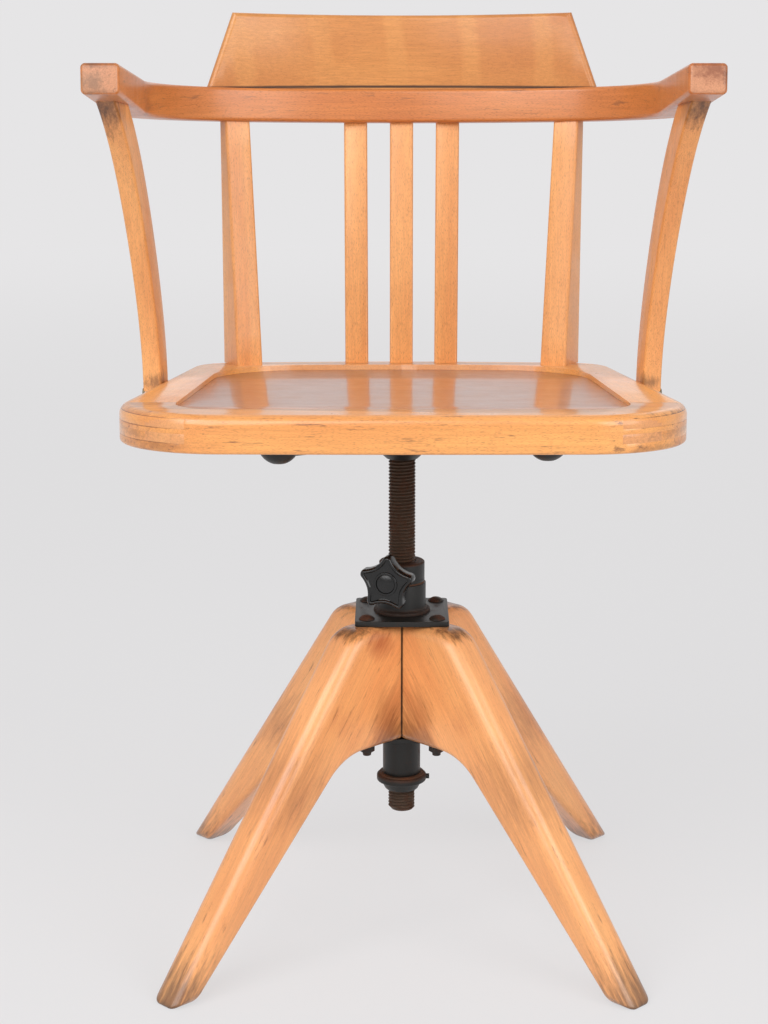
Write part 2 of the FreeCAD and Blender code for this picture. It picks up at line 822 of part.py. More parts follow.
def make_bow_level():
    inner, inner_left, inner_right = bow_curve(bow_rear_radius, bow_bend_radius)
    outer, outer_left, outer_right = bow_curve(bow_rear_radius + bow_rear_thickness, outer_bend_radius())
    ends = [
        Part.LineSegment(inner_right, outer_right).toShape(),
        Part.LineSegment(outer_left, inner_left).toShape(),
    ]
    wire = Part.Wire(Part.__sortEdges__(inner + outer + ends))
    bow = Part.Face(wire).extrude(Vector(0, 0, -bow_height))
    bow = clean(bow.cut(arm_underside_tool()))
    rims = [e for e in bow.Edges if e.BoundBox.ZLength < 3.0 * bow_height and middle(e).z > -0.01]
    rims += [e for e in bow.Edges if middle(e).z < -bow_arm_end_height + 0.01 and not is_cross_edge(e)]
    rims += [e for e in bow.Edges if abs(middle(e).y + bow_arm_end) < 0.5 and middle(e).z < -1.0]
    return round_edges(bow, rims)


def is_cross_edge(edge):
    """An edge that runs straight across an arm's underside where its taper begins."""
    box = edge.BoundBox
    return box.YLength < 0.01 and abs(middle(edge).y - bow_arm_taper_start) < 0.01


def round_edges(bow, rims):
    unique = []
    for edge in rims:
        if not any(edge.isSame(other) for other in unique):
            unique.append(edge)
    return bow.makeFillet(bow_edge_round, unique)


def make_crest_level():
    """The board stands on the bow's top at z = 0, bent like the rail."""
    centre_y = bow_front_face - bow_rear_radius
    front = bow_rear_radius + crest_setback
    centre = Vector(0, centre_y, 0)
    ring = Part.makeCylinder(front + crest_thickness, crest_height, centre, UP)
    ring = ring.cut(Part.makeCylinder(front, crest_height, centre, UP))
    outline = [
        Vector(-crest_bottom_width / 2.0, 0, 0),
        Vector(crest_bottom_width / 2.0, 0, 0),
        Vector(crest_top_width / 2.0, 0, crest_height),
        Vector(-crest_top_width / 2.0, 0, crest_height),
    ]
    front_view = Part.Face(Part.makePolygon(outline + outline[:1])).extrude(Vector(0, beyond, 0))
    crest = clean(ring.common(front_view))
    rims = [e for e in crest.Edges if middle(e).z > 0.01 and e.Length > 2 * crest_thickness]
    return crest.makeFillet(crest_edge_round, rims)


def crest_dowels_level():
    centre_y = bow_front_face - bow_rear_radius
    middle_radius = bow_rear_radius + crest_setback + crest_thickness / 2.0
    solids = []
    for step in (-1, 0, 1):
        x = step * crest_dowel_spacing
        y = centre_y + math.sqrt(middle_radius**2 - x**2)
        solids.append(cylinder(crest_dowel_radius, -crest_dowel_length / 2.0, crest_dowel_length / 2.0, x, y))
    return Part.makeCompound(solids)


# Uprights

def section(centre, width, depth, turn):
    """A level rectangle with rounded corners, turned about its centre; depth runs front to back."""
    x = width / 2.0
    y = depth / 2.0
    r = post_edge_round
    k = r * (1.0 - math.sqrt(0.5))
    quarters = []
    for sx, sy in ((1, -1), (1, 1), (-1, 1), (-1, -1)):
        along = Vector(sx * (x - r), sy * y, 0)
        bend = Vector(sx * (x - k), sy * (y - k), 0)
        across = Vector(sx * x, sy * (y - r), 0)
        quarters.append((along, bend, across) if sx * sy < 0 else (across, bend, along))
    edges = []
    for index, (start, bend, end) in enumerate(quarters):
        edges.append(Part.Arc(start, bend, end).toShape())
        edges.append(Part.LineSegment(end, quarters[(index + 1) % 4][0]).toShape())
    wire = Part.Wire(edges)
    wire.translate(centre)
    wire.rotate(centre, UP, turn)
    return wire


def above_seat(shape):
    return shape.cut(on_seat(block(-beyond, beyond, -beyond, beyond, -beyond, seat_thickness)))


def below_bow(shape):
    return shape.cut(on_bow(block(-beyond, beyond, -beyond, beyond, -bow_height, beyond)))


def below_arm(shape):
    above = block(-beyond, beyond, -beyond, beyond, -2.0 * bow_height, beyond).cut(arm_underside_tool())
    return shape.cut(on_bow(above))


def seat_top_at(x, y):
    return seat_point(x, y, seat_thickness)


def rail_bottom_at(x, y):
    return bow_point(x, y, -bow_height)


def tenoned(body, foot, head, radius):
    """Add a round tenon at each end of an upright."""
    axis = (head - foot).normalize()
    lower = Part.makeCylinder(radius, tenon_length + radius, foot - axis * tenon_length, axis)
    upper = Part.makeCylinder(radius, tenon_length + radius, head - axis * radius, axis)
    return clean(body.fuse([lower, upper]))


def mortises(foot, head, radius):
    axis = (head - foot).normalize()
    depth = tenon_length + tenon_clearance
    lower = Part.makeCylinder(radius + tenon_clearance, 2.0 * depth, foot - axis * depth, axis)
    upper = Part.makeCylinder(radius + tenon_clearance, 2.0 * depth, head - axis * depth, axis)
    return lower, upper


def back_post_ends(side):
    foot = seat_top_at(side * back_post_bottom[0], back_post_bottom[1])
    head = rail_bottom_at(side * back_post_top[0], back_post_top[1])
    return foot, head


def make_back_post(side):
    foot, head = back_post_ends(side)
    turn = -side * back_post_turn
    middle_point = (foot + head) * 0.5 + Vector(0, back_post_middle_bow, 0)
    middle_size = [(a + b) / 2.0 for a, b in zip(back_post_bottom_size, back_post_top_size)]
    lean = (head - foot).normalize() * upright_overrun
    wires = [
        section(foot - lean, *back_post_bottom_size, turn),
        section(middle_point, *middle_size, turn),
        section(head + lean, *back_post_top_size, turn),
    ]
    post = Part.makeLoft(wires, True, False)
    post = clean(below_bow(above_seat(post)))
    return tenoned(post, foot, head, back_post_tenon_radius)


def slat_ends(step):
    foot = seat_top_at(step * slat_bottom_spacing, slat_bottom_y)
    head = rail_bottom_at(step * slat_top_spacing, slat_top_y)
    return foot, head


def make_slat(step):
    foot, head = slat_ends(step)
    lean = (head - foot).normalize() * upright_overrun
    wires = [
        section(foot - lean, slat_width, slat_thickness, 0),
        section(head + lean, slat_width, slat_thickness, 0),
    ]
    slat = Part.makeLoft(wires, True, True)
    slat = clean(below_bow(above_seat(slat)))
    return tenoned(slat, foot, head, slat_tenon_radius)


def seat_side_x(y):
    """Half the seat's width at a depth y, on its straight side."""
    along = (y + seat_front) / (seat_rear + seat_front)
    return seat_front_half_width + along * (seat_rear_half_width - seat_front_half_width)


def seat_side_turn():
    return math.degrees(math.atan2(seat_front_half_width - seat_rear_half_width, seat_front + seat_rear))


def arm_post_sections(side):
    turn = side * seat_side_turn()
    foot_x = seat_side_x(arm_post_foot_y) + arm_post_thickness / 2.0 / math.cos(math.radians(seat_side_turn()))
    low = seat_point(foot_x, arm_post_foot_y, arm_post_foot_drop)
    seat_line = seat_point(foot_x, arm_post_foot_y, seat_thickness)
    head = bow_point(arm_post_head_shift, arm_post_head_y, -bow_arm_end_height)
    run = head - seat_line
    places = [(low, arm_post_foot_depth), (seat_line, arm_post_foot_depth)]
    for (across, forward, up), swell in zip(arm_post_path, arm_post_swell):
        step = Vector(run.x * across, run.y * forward, run.z * up)
        places.append((seat_line + step, arm_post_foot_depth + swell))
    places.append((head + Vector(*arm_post_overrun), arm_post_head_depth))
    wires = []
    for centre, depth in places:
        wires.append(section(Vector(side * centre.x, centre.y, centre.z), arm_post_thickness, depth, turn))
    return wires


def make_arm_post(side):
    post = Part.makeLoft(arm_post_sections(side), True, False)
    return clean(below_arm(post))


def arm_post_screw_axes():
    turn = math.radians(seat_side_turn())
    axes = []
    for side in (-1, 1):
        inward = Vector(-side * math.cos(turn), -math.sin(turn), 0)
        for step in (-1, 1):
            y = arm_post_foot_y + step * arm_post_screw_spread
            level = seat_thickness / 2.0 - step * arm_post_screw_step
            outer = seat_side_x(y) + arm_post_thickness / math.cos(turn)
            start = seat_point(side * outer, y, level) - inward * arm_post_screw_proud
            axes.append((start, inward))
    return axes


def make_arm_post_screws():
    solids = []
    for start, inward in arm_post_screw_axes():
        shank = Part.makeCylinder(arm_post_screw_radius, arm_post_screw_length, start, inward)
        head = Part.makeCylinder(arm_post_screw_head_radius, arm_post_screw_head_height, start, inward)
        solids.append(clean(shank.fuse(head)))
    return Part.makeCompound(solids)


def build_parts():
    parts = {}
    for index, name in enumerate(("leg_front_left", "leg_front_right", "leg_rear_right", "leg_rear_left")):
        parts[name] = make_leg(leg_first_angle + 90.0 * index)
    parts["hub_top_plate"] = make_hub_top_plate()
    parts["hub_sleeve"] = make_hub_sleeve()
    parts["hub_bottom_plate"] = make_hub_bottom_plate()
    parts["upper_bush"] = make_bush(sleeve_bottom, sleeve_top - bush_flange_gap)
    parts["lower_bush"] = make_bush(lower_tube_bottom + bush_flange_gap, lower_tube_top)
    parts["hub_bolts"] = make_hub_bolts()
    parts["hub_bolt_washers"] = make_hub_washers()
    parts["hub_bolt_nuts"] = make_hub_nuts()

    parts["swivel_quill"] = make_quill()
    parts["upper_thrust_washer"] = make_thrust_washer(sleeve_top)
    parts["lower_thrust_washer"] = make_thrust_washer(collar_top)
    parts["retaining_collar"] = make_collar()
    parts["collar_set_screw"] = make_collar_set_screw()
    parts["height_nut"] = make_height_nut()
    parts["clamp_pad"] = make_clamp_pad()
    parts["clamp_stud"] = make_clamp_stud()
    parts["clamp_knob"] = make_clamp_knob()

    parts["screw_spindle"] = make_spindle()
    parts["seat_spider"] = make_seat_spider()
    parts["spider_screws"] = make_spider_screws()
    rails = make_seat_rails()
    panel = make_seat_panel()
    battens = {"seat_batten_left": make_seat_batten(-1), "seat_batten_right": make_seat_batten(1)}
    screw_holes = make_spider_screws()

    bow = on_bow(make_bow_level())
    crest = on_bow(make_crest_level())
    dowels = on_bow(crest_dowels_level())
    bow = bow.cut(dowels)
    crest = crest.cut(dowels)

    seat_mortises = []
    for side, name in ((-1, "back_post_left"), (1, "back_post_right")):
        parts[name] = make_back_post(side)
        lower, upper = mortises(*back_post_ends(side), back_post_tenon_radius)
        seat_mortises.append(lower)
        bow = bow.cut(upper)
    for step, name in ((-1, "back_slat_left"), (0, "back_slat_middle"), (1, "back_slat_right")):
        parts[name] = make_slat(step)
        lower, upper = mortises(*slat_ends(step), slat_tenon_radius)
        seat_mortises.append(lower)
        bow = bow.cut(upper)
    screws = make_arm_post_screws()
    for side, name in ((-1, "arm_post_left"), (1, "arm_post_right")):
        parts[name] = clean(make_arm_post(side).cut(screws))
    parts["arm_post_screws"] = screws
    for name, rail in rails.items():
        parts[name] = clean(on_seat(rail).cut(seat_mortises + [screws]))
    parts["seat_panel"] = on_seat(panel)
    for name, batten in battens.items():
        parts[name] = clean(on_seat(batten).cut(screw_holes))
    parts["arm_bow"] = clean(bow)
    parts["crest_board"] = clean(crest)
    parts["crest_dowels"] = dowels
    return parts


def main():
    os.makedirs("parts", exist_ok=True)
    parts = build_parts()
    boxes = [shape.optimalBoundingBox(False) for shape in parts.values()]
    front = min(box.YMin for box in boxes)
    back = max(box.YMax for box in boxes)
    shift = -(front + back) / 2.0
    for name, shape in parts.items():
        shape.translate(Vector(0, shift, 0))
        shape.exportStep(f"parts/{name}.step")
    print(f"swivel axis at y = {shift:.3f} mm from the centre of the footprint")
    print(f"footprint from y = {front + shift:.2f} to {back + shift:.2f} mm")


main()
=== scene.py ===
import json
import logging
import math
from dataclasses import dataclass, replace
from enum import Enum
from typing import Callable

import bpy
from mathutils import Euler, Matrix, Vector


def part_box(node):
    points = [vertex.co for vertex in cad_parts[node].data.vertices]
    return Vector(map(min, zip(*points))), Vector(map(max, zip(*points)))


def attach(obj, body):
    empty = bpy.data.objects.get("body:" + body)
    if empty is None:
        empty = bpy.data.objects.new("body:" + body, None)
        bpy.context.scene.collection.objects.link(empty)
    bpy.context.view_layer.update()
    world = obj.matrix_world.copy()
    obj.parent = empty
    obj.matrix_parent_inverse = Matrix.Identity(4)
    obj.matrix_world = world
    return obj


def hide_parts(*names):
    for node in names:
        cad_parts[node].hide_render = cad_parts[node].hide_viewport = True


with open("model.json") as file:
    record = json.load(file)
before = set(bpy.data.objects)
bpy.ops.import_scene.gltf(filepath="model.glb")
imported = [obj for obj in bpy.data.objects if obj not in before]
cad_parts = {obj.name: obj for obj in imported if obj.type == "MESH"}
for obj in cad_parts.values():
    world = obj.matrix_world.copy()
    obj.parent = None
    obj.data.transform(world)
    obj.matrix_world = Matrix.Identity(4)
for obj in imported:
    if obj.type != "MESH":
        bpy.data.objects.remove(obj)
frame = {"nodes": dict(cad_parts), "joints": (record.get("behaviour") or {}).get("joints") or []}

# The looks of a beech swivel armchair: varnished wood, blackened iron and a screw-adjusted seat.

log = logging.getLogger("swivel_chair")

Colour = tuple[float, float, float]
Point = tuple[float, float, float]
Chooser = Callable[[Vector, Vector], bool]


class Body(Enum):
    """The moving bodies of the chair."""

    BASE = "base"
    QUILL = "quill"
    NUT = "height_nut"
    PAD = "clamp_pad"
    KNOB = "clamp_knob"
    SEAT = "seat"


class Slot(Enum):
    """The material slots of the record."""

    VARNISHED_BEECH = "varnished_beech"
    LEG_BEECH = "leg_beech"
    SEAT_VENEER = "seat_veneer"
    BLACK_IRON = "black_iron"
    SCREW_STEEL = "screw_steel"
    HUB_FASTENERS = "hub_fasteners"
    BLACK_BAKELITE = "black_bakelite"


class Figure(Enum):
    """How the growth rings show on a face of the wood."""

    STRAIGHT = "straight"
    ARCHED = "arched"


def linear(red: int, green: int, blue: int) -> Colour:
    """Turn a colour of 0 to 255 a channel into the linear values that shaders take.

    Args:
        red: The red channel.
        green: The green channel.
        blue: The blue channel.

    Returns:
        The same colour in linear light.
    """
    return tuple(((channel / 255.0 + 0.055) / 1.055) ** 2.4 for channel in (red, green, blue))


def tone(colour: Colour, share: float) -> Colour:
    """Give a darker tone of a colour, or a lighter one.

    Args:
        colour: The colour, in linear light.
        share: How much of its light is left, or more than 1 for a lighter tone.

    Returns:
        The other tone.
    """
    return tuple(channel * share for channel in colour)


# Modelling


class Bench:
    """The bench, where one piece at a time is taken up, shaped and finished."""

    @staticmethod
    def take(piece: bpy.types.Object) -> None:
        """Make a piece the only selected one, and the active one.

        Args:
            piece: The piece to work on.
        """
        bpy.ops.object.select_all(action="DESELECT")
        piece.select_set(True)
        bpy.context.view_layer.objects.active = piece

    @staticmethod
    def named(name: str) -> bpy.types.Object:
        """Name the primitive that was just added.

        Args:
            name: The name of the piece.

        Returns:
            The new piece.
        """
        piece = bpy.context.object
        piece.name = name
        piece.data.name = name
        return piece

    @staticmethod
    def copy_of(node: str, name: str) -> bpy.types.Object:
        """Copy a node's mesh as a new piece, with its triangles joined to whole faces.

        Args:
            node: The node to copy.
            name: The name of the new piece.

        Returns:
            The new piece, with one connected mesh.
        """
        mesh = frame["nodes"][node].data.copy()
        mesh.materials.clear()
        piece = bpy.data.objects.new(name, mesh)
        bpy.context.scene.collection.objects.link(piece)
        Bench.take(piece)
        bpy.ops.mesh.customdata_custom_splitnormals_clear()
        bpy.ops.object.mode_set(mode="EDIT")
        bpy.ops.mesh.select_all(action="SELECT")
        bpy.ops.mesh.remove_doubles(threshold=4e-6)
        bpy.ops.mesh.dissolve_limited(angle_limit=math.radians(0.12))
        bpy.ops.object.mode_set(mode="OBJECT")
        return piece

    @staticmethod
    def choose_faces(piece: bpy.types.Object, wanted: Chooser) -> None:
        """Enter edit mode with only the wanted faces selected.

        Args:
            piece: The piece to work on.
            wanted: Tells from a face's centre and normal whether it is wanted.
        """
        Bench.take(piece)
        bpy.ops.object.mode_set(mode="EDIT")
        bpy.ops.mesh.select_mode(type="FACE")
        bpy.ops.mesh.select_all(action="DESELECT")
        bpy.ops.object.mode_set(mode="OBJECT")
        for face in piece.data.polygons:
            face.select = wanted(face.center, face.normal)
        bpy.ops.object.mode_set(mode="EDIT")

    @staticmethod
    def choose_edges(piece: bpy.types.Object, wanted: Chooser) -> None:
        """Enter edit mode with only the wanted edges selected.

        Args:
            piece: The piece to work on.
            wanted: Tells from an edge's two ends whether it is wanted.
        """
        Bench.take(piece)
        bpy.ops.object.mode_set(mode="EDIT")
        bpy.ops.mesh.select_mode(type="EDGE")
        bpy.ops.mesh.select_all(action="DESELECT")
        bpy.ops.object.mode_set(mode="OBJECT")
        points = piece.data.vertices
        for edge in piece.data.edges:
            start, end = edge.vertices
            edge.select = wanted(points[start].co, points[end].co)
        bpy.ops.object.mode_set(mode="EDIT")

    @staticmethod
    def leave() -> None:
        """Go back to object mode."""
        bpy.ops.object.mode_set(mode="OBJECT")

    @staticmethod
    def soften(piece: bpy.types.Object, width: float, segments: int = 2, angle: float = 38.0) -> None:
        """Round every hard edge of a piece a little.

        Args:
            piece: The piece to work on.
            width: The width of the rounding, in metres.
            segments: How many faces make the rounding.
            angle: The least angle of an edge that is rounded, in degrees.
        """
        Bench.take(piece)
        rounding = piece.modifiers.new("rounding", "BEVEL")
        rounding.width = width
        rounding.segments = segments
        rounding.limit_method = "ANGLE"
        rounding.angle_limit = math.radians(angle)
        rounding.use_clamp_overlap = True
        bpy.ops.object.modifier_apply(modifier=rounding.name)

    @staticmethod
    def smooth(piece: bpy.types.Object, angle: float = 32.0) -> None:
        """Shade a piece smoothly, apart from its hard edges.

        Args:
            piece: The piece to work on.
            angle: The angle from which an edge stays hard, in degrees.
        """
        Bench.take(piece)
        bpy.ops.object.shade_smooth_by_angle(angle=math.radians(angle))

    @staticmethod
    def settle(piece: bpy.types.Object) -> None:
        """Put a piece's place into its mesh, so that its object sits at the origin.

        Args:
            piece: The piece to work on.
        """
        Bench.take(piece)
        bpy.ops.object.transform_apply(location=True, rotation=True, scale=True)

    @staticmethod
    def face_outwards(piece: bpy.types.Object) -> None:
        """Merge doubles and turn every face outwards.

        Args:
            piece: The piece to work on.
        """
        Bench.take(piece)
        bpy.ops.object.mode_set(mode="EDIT")
        bpy.ops.mesh.select_all(action="SELECT")
        bpy.ops.mesh.remove_doubles(threshold=1e-6)
        bpy.ops.mesh.normals_make_consistent(inside=False)
        bpy.ops.object.mode_set(mode="OBJECT")

    @staticmethod
    def join(parts: list[bpy.types.Object], name: str) -> bpy.types.Object:
        """Join several meshes to one piece.

        Args:
            parts: The meshes, the first of which keeps its data.
            name: The name of the joined piece.

        Returns:
            The joined piece.
        """
        bpy.ops.object.select_all(action="DESELECT")
        for part in parts:
            part.select_set(True)
        bpy.context.view_layer.objects.active = parts[0]
        bpy.ops.object.join()
        return Bench.named(name)


@dataclass(frozen=True)
class Run:
    """The way the grain runs in a straight piece of wood.

    Attributes:
        start: A point from which lengths along the grain are measured.
        along: The direction of the grain.
        across: A direction across the grain.
    """

    start: Vector
    along: Vector
    across: Vector

    def place(self, point: Vector) -> Vector:
        """Give a point's lengths along and across the grain.

        Args:
            point: A point of the piece.

        Returns:
            The length along the grain and the two lengths across it.
        """
        offset = point - self.start
        along = self.along.normalized()
        side = (self.across - along * self.across.dot(along)).normalized()
        return Vector((offset.dot(along), offset.dot(side), offset.dot(along.cross(side))))

    def heading(self, point: Vector) -> Vector:
        """Give the grain's direction at a point, the same all over a straight piece.

        Args:
            point: A point of the piece.

        Returns:
            The direction of the grain there.
        """
        return self.along.normalized()


@dataclass(frozen=True)
class BentRun:
    """The way the grain follows the bow: a back arc, two tighter bends and two straight arms.

    Attributes:
        centre_y: Where the back arc has its centre.
        radius: The radius of the back arc's middle line.
        turn: Half the angle of the back arc, in degrees.
        bend_radius: The radius of the bends' middle line.
        top: The height of the bow.
    """

    centre_y: float
    radius: float
    turn: float
    bend_radius: float
    top: float

    def place(self, point: Vector) -> Vector:
        """Give a point's length along the bow's middle line, its distance from it and its height.

        Args:
            point: A point of the bow.

        Returns:
            The length along the grain and the two lengths across it.
        """
        side = 1.0 if point.x >= 0.0 else -1.0
        x = abs(point.x)
        turn = math.radians(self.turn)
        arc_end = self.radius * turn
        angle = math.atan2(x, point.y - self.centre_y)
        if angle <= turn and point.y > self.centre_y:
            distance = math.hypot(x, point.y - self.centre_y)
            return Vector((side * self.radius * angle, distance - self.radius, point.z - self.top))
        bend_x = (self.radius - self.bend_radius) * math.sin(turn)
        bend_y = self.centre_y + (self.radius - self.bend_radius) * math.cos(turn)
        if point.y > bend_y:
            angle = math.atan2(x - bend_x, point.y - bend_y)
            distance = math.hypot(x - bend_x, point.y - bend_y)
            length = arc_end + self.bend_radius * (angle - turn)
            return Vector((side * length, distance - self.bend_radius, point.z - self.top))
        length = arc_end + self.bend_radius * (math.pi / 2.0 - turn) + bend_y - point.y
        return Vector((side * length, x - bend_x - self.bend_radius, point.z - self.top))

    def heading(self, point: Vector) -> Vector:
        """Give the grain's direction at a point of the bow.

        Args:
            point: A point of the bow.

        Returns:
            The direction of the grain there.
        """
        step = 0.001
        here = self.place(point)
        ahead_x = self.place(point + Vector((step, 0.0, 0.0)))
        ahead_y = self.place(point + Vector((0.0, step, 0.0)))
        return Vector((ahead_x.x - here.x, ahead_y.x - here.x, 0.0)).normalized()


def lay_grain(piece: bpy.types.Object, run: Run | BentRun, end_face: float = 0.8) -> None:
    """Write the grain onto a wooden piece, and give its cut ends their own material index.

    Args:
        piece: The piece of wood.
        run: The way its grain runs.
        end_face: How nearly a face must look along the grain to count as a cut end.
    """
    mesh = piece.data
    layer = mesh.attributes.new("grain", "FLOAT_VECTOR", "POINT")
    values: list[float] = []
    for vertex in mesh.vertices:
        values.extend(run.place(vertex.co))
    layer.data.foreach_set("vector", values)
    for face in mesh.polygons:
        face.material_index = 1 if abs(face.normal.dot(run.heading(face.center))) > end_face else 0


def mark_joints(piece: bpy.types.Object, near: Chooser, width: float = 0.0009) -> None:
    """Give the narrow faces along a glued joint the material of its dark seam.

    Args:
        piece: The wooden piece, with its edges rounded.
        near: Tells from a face's centre and normal whether it lies at a joint.
        width: The most that such a face is wide, in metres.
    """
    points = piece.data.vertices
    for face in piece.data.polygons:
        corners = [points[index].co for index in face.vertices]
        longest = max((corners[index] - corners[index - 1]).length for index in range(len(corners)))
        if face.area < width * longest and near(face.center, face.normal):
            face.material_index = 2


# Finishes


class Sheet:
    """One material's nodes, laid out step by step."""

    def __init__(self, name: str) -> None:
        """Start a material with an empty shader.

        Args:
            name: The name of the material.
        """
        self.material = bpy.data.materials.new(name)
        self.material.use_nodes = True
        self.tree = self.material.node_tree
        self.tree.nodes.clear()
        self.shader = self.tree.nodes.new("ShaderNodeBsdfPrincipled")
        output = self.tree.nodes.new("ShaderNodeOutputMaterial")
        self.tree.links.new(self.shader.outputs["BSDF"], output.inputs["Surface"])

    def fill(self, socket: bpy.types.NodeSocket, value: object) -> None:
        """Link or set one input.

        Args:
            socket: The input.
            value: Another node's output, or a plain value.
        """
        if isinstance(value, bpy.types.NodeSocket):
            self.tree.links.new(value, socket)
        else:
            socket.default_value = value

    def grain(self) -> bpy.types.NodeSocket:
        """Give the lengths along and across the grain."""
        node = self.tree.nodes.new("ShaderNodeAttribute")
        node.attribute_name = "grain"
        return node.outputs["Vector"]

    def place(self) -> bpy.types.NodeSocket:
        """Give the place on the piece, in metres."""
        return self.tree.nodes.new("ShaderNodeTexCoord").outputs["Object"]

    def stretch(self, vector: bpy.types.NodeSocket, scale: Point, shift: Point = (0, 0, 0)) -> bpy.types.NodeSocket:
        """Scale and shift coordinates.

        Args:
            vector: The coordinates.
            scale: The scale of each axis.
            shift: The shift of each axis.

        Returns:
            The new coordinates.
        """
        node = self.tree.nodes.new("ShaderNodeMapping")
        self.fill(node.inputs["Vector"], vector)
        node.inputs["Scale"].default_value = scale
        node.inputs["Location"].default_value = shift
        return node.outputs["Vector"]

    def noise(
        self, vector: bpy.types.NodeSocket, detail: float = 2.0, roughness: float = 0.5, distortion: float = 0.0
    ) -> bpy.types.NodeSocket:
        """Give a cloud of values from 0 to 1, one cloud to a unit of the coordinates.

        Args:
            vector: The coordinates.
            detail: How many finer clouds are added.
            roughness: How strong the finer clouds are.
            distortion: How much the cloud is warped.

        Returns:
            The values.
        """
        node = self.tree.nodes.new("ShaderNodeTexNoise")
        self.fill(node.inputs["Vector"], vector)
        node.inputs["Scale"].default_value = 1.0
        node.inputs["Detail"].default_value = detail
        node.inputs["Roughness"].default_value = roughness
        node.inputs["Distortion"].default_value = distortion
        return node.outputs["Fac"]

    def remap(
        self, value: bpy.types.NodeSocket, low: float, high: float, to_low: float, to_high: float
    ) -> bpy.types.NodeSocket:
        """Take one range of values to another, and stop at its ends.

        Args:
            value: The values.
            low: Where the old range starts.
            high: Where the old range ends.
            to_low: Where the new range starts.
            to_high: Where the new range ends.

        Returns:
            The new values.
        """
        node = self.tree.nodes.new("ShaderNodeMapRange")
        self.fill(node.inputs["Value"], value)
        for name, number in (("From Min", low), ("From Max", high), ("To Min", to_low), ("To Max", to_high)):
            node.inputs[name].default_value = number
        return node.outputs["Result"]

    def calculate(self, operation: str, first: object, second: object = 0.0) -> bpy.types.NodeSocket:
        """Do one step of arithmetic.

        Args:
            operation: The name of the operation.
            first: The first value.
            second: The second value.

        Returns:
            The result.
        """
        node = self.tree.nodes.new("ShaderNodeMath")
        node.operation = operation
        self.fill(node.inputs[0], first)
        self.fill(node.inputs[1], second)
        return node.outputs["Value"]

    def blend(self, amount: object, first: object, second: object) -> bpy.types.NodeSocket:
        """Blend two colours.

        Args:
            amount: How much of the second colour shows, from 0 to 1.
            first: The first colour.
            second: The second colour.

        Returns:
            The blended colour.
        """
        node = self.tree.nodes.new("ShaderNodeMix")
        node.data_type = "RGBA"
        for index, value in ((0, amount), (6, first), (7, second)):
            wanted = (*value, 1.0) if isinstance(value, tuple) else value
            self.fill(node.inputs[index], wanted)
        return node.outputs[2]

    def bump(self, height: bpy.types.NodeSocket, strength: float, distance: float) -> None:
        """Raise the surface by a height.

        Args:
            height: The values of the height.
            strength: How much of it shows.
            distance: The height in metres of a value of 1.
        """
        node = self.tree.nodes.new("ShaderNodeBump")
        node.inputs["Strength"].default_value = strength
        node.inputs["Distance"].default_value = distance
        self.fill(node.inputs["Height"], height)
        self.fill(self.shader.inputs["Normal"], node.outputs["Normal"])

    def patch(self, vector: bpy.types.NodeSocket, centre: Point, reach: Point) -> bpy.types.NodeSocket:
        """Give a soft patch, 1 at its centre and 0 at its reach.

        Args:
            vector: The coordinates.
            centre: The centre of the patch.
            reach: How far it goes along each axis.

        Returns:
            The strength of the patch.
        """
        scale = tuple(1.0 / length for length in reach)
        shift = tuple(-middle / length for middle, length in zip(centre, reach))
        node = self.tree.nodes.new("ShaderNodeVectorMath")
        node.operation = "LENGTH"
        self.fill(node.inputs[0], self.stretch(vector, scale, shift))
        return self.remap(node.outputs["Value"], 0.0, 1.0, 1.0, 0.0)


@dataclass(frozen=True)
class Stain:
    """A worn or dirty patch on the wood.

    Attributes:
        centre: The centre of the patch, in metres.
        reach: How far it goes along each axis, in metres.
        colour: The colour of the dirt.
        strength: How much of the wood it covers, from 0 to 1.
        streaks: How far the grain breaks it up, from 0 to 1.
        by_grain: Whether its place is given along and across the grain.
    """

    centre: Point
    reach: Point
    colour: Colour = linear(96, 58, 34)
    strength: float = 0.7
    streaks: float = 1.0
    by_grain: bool = False


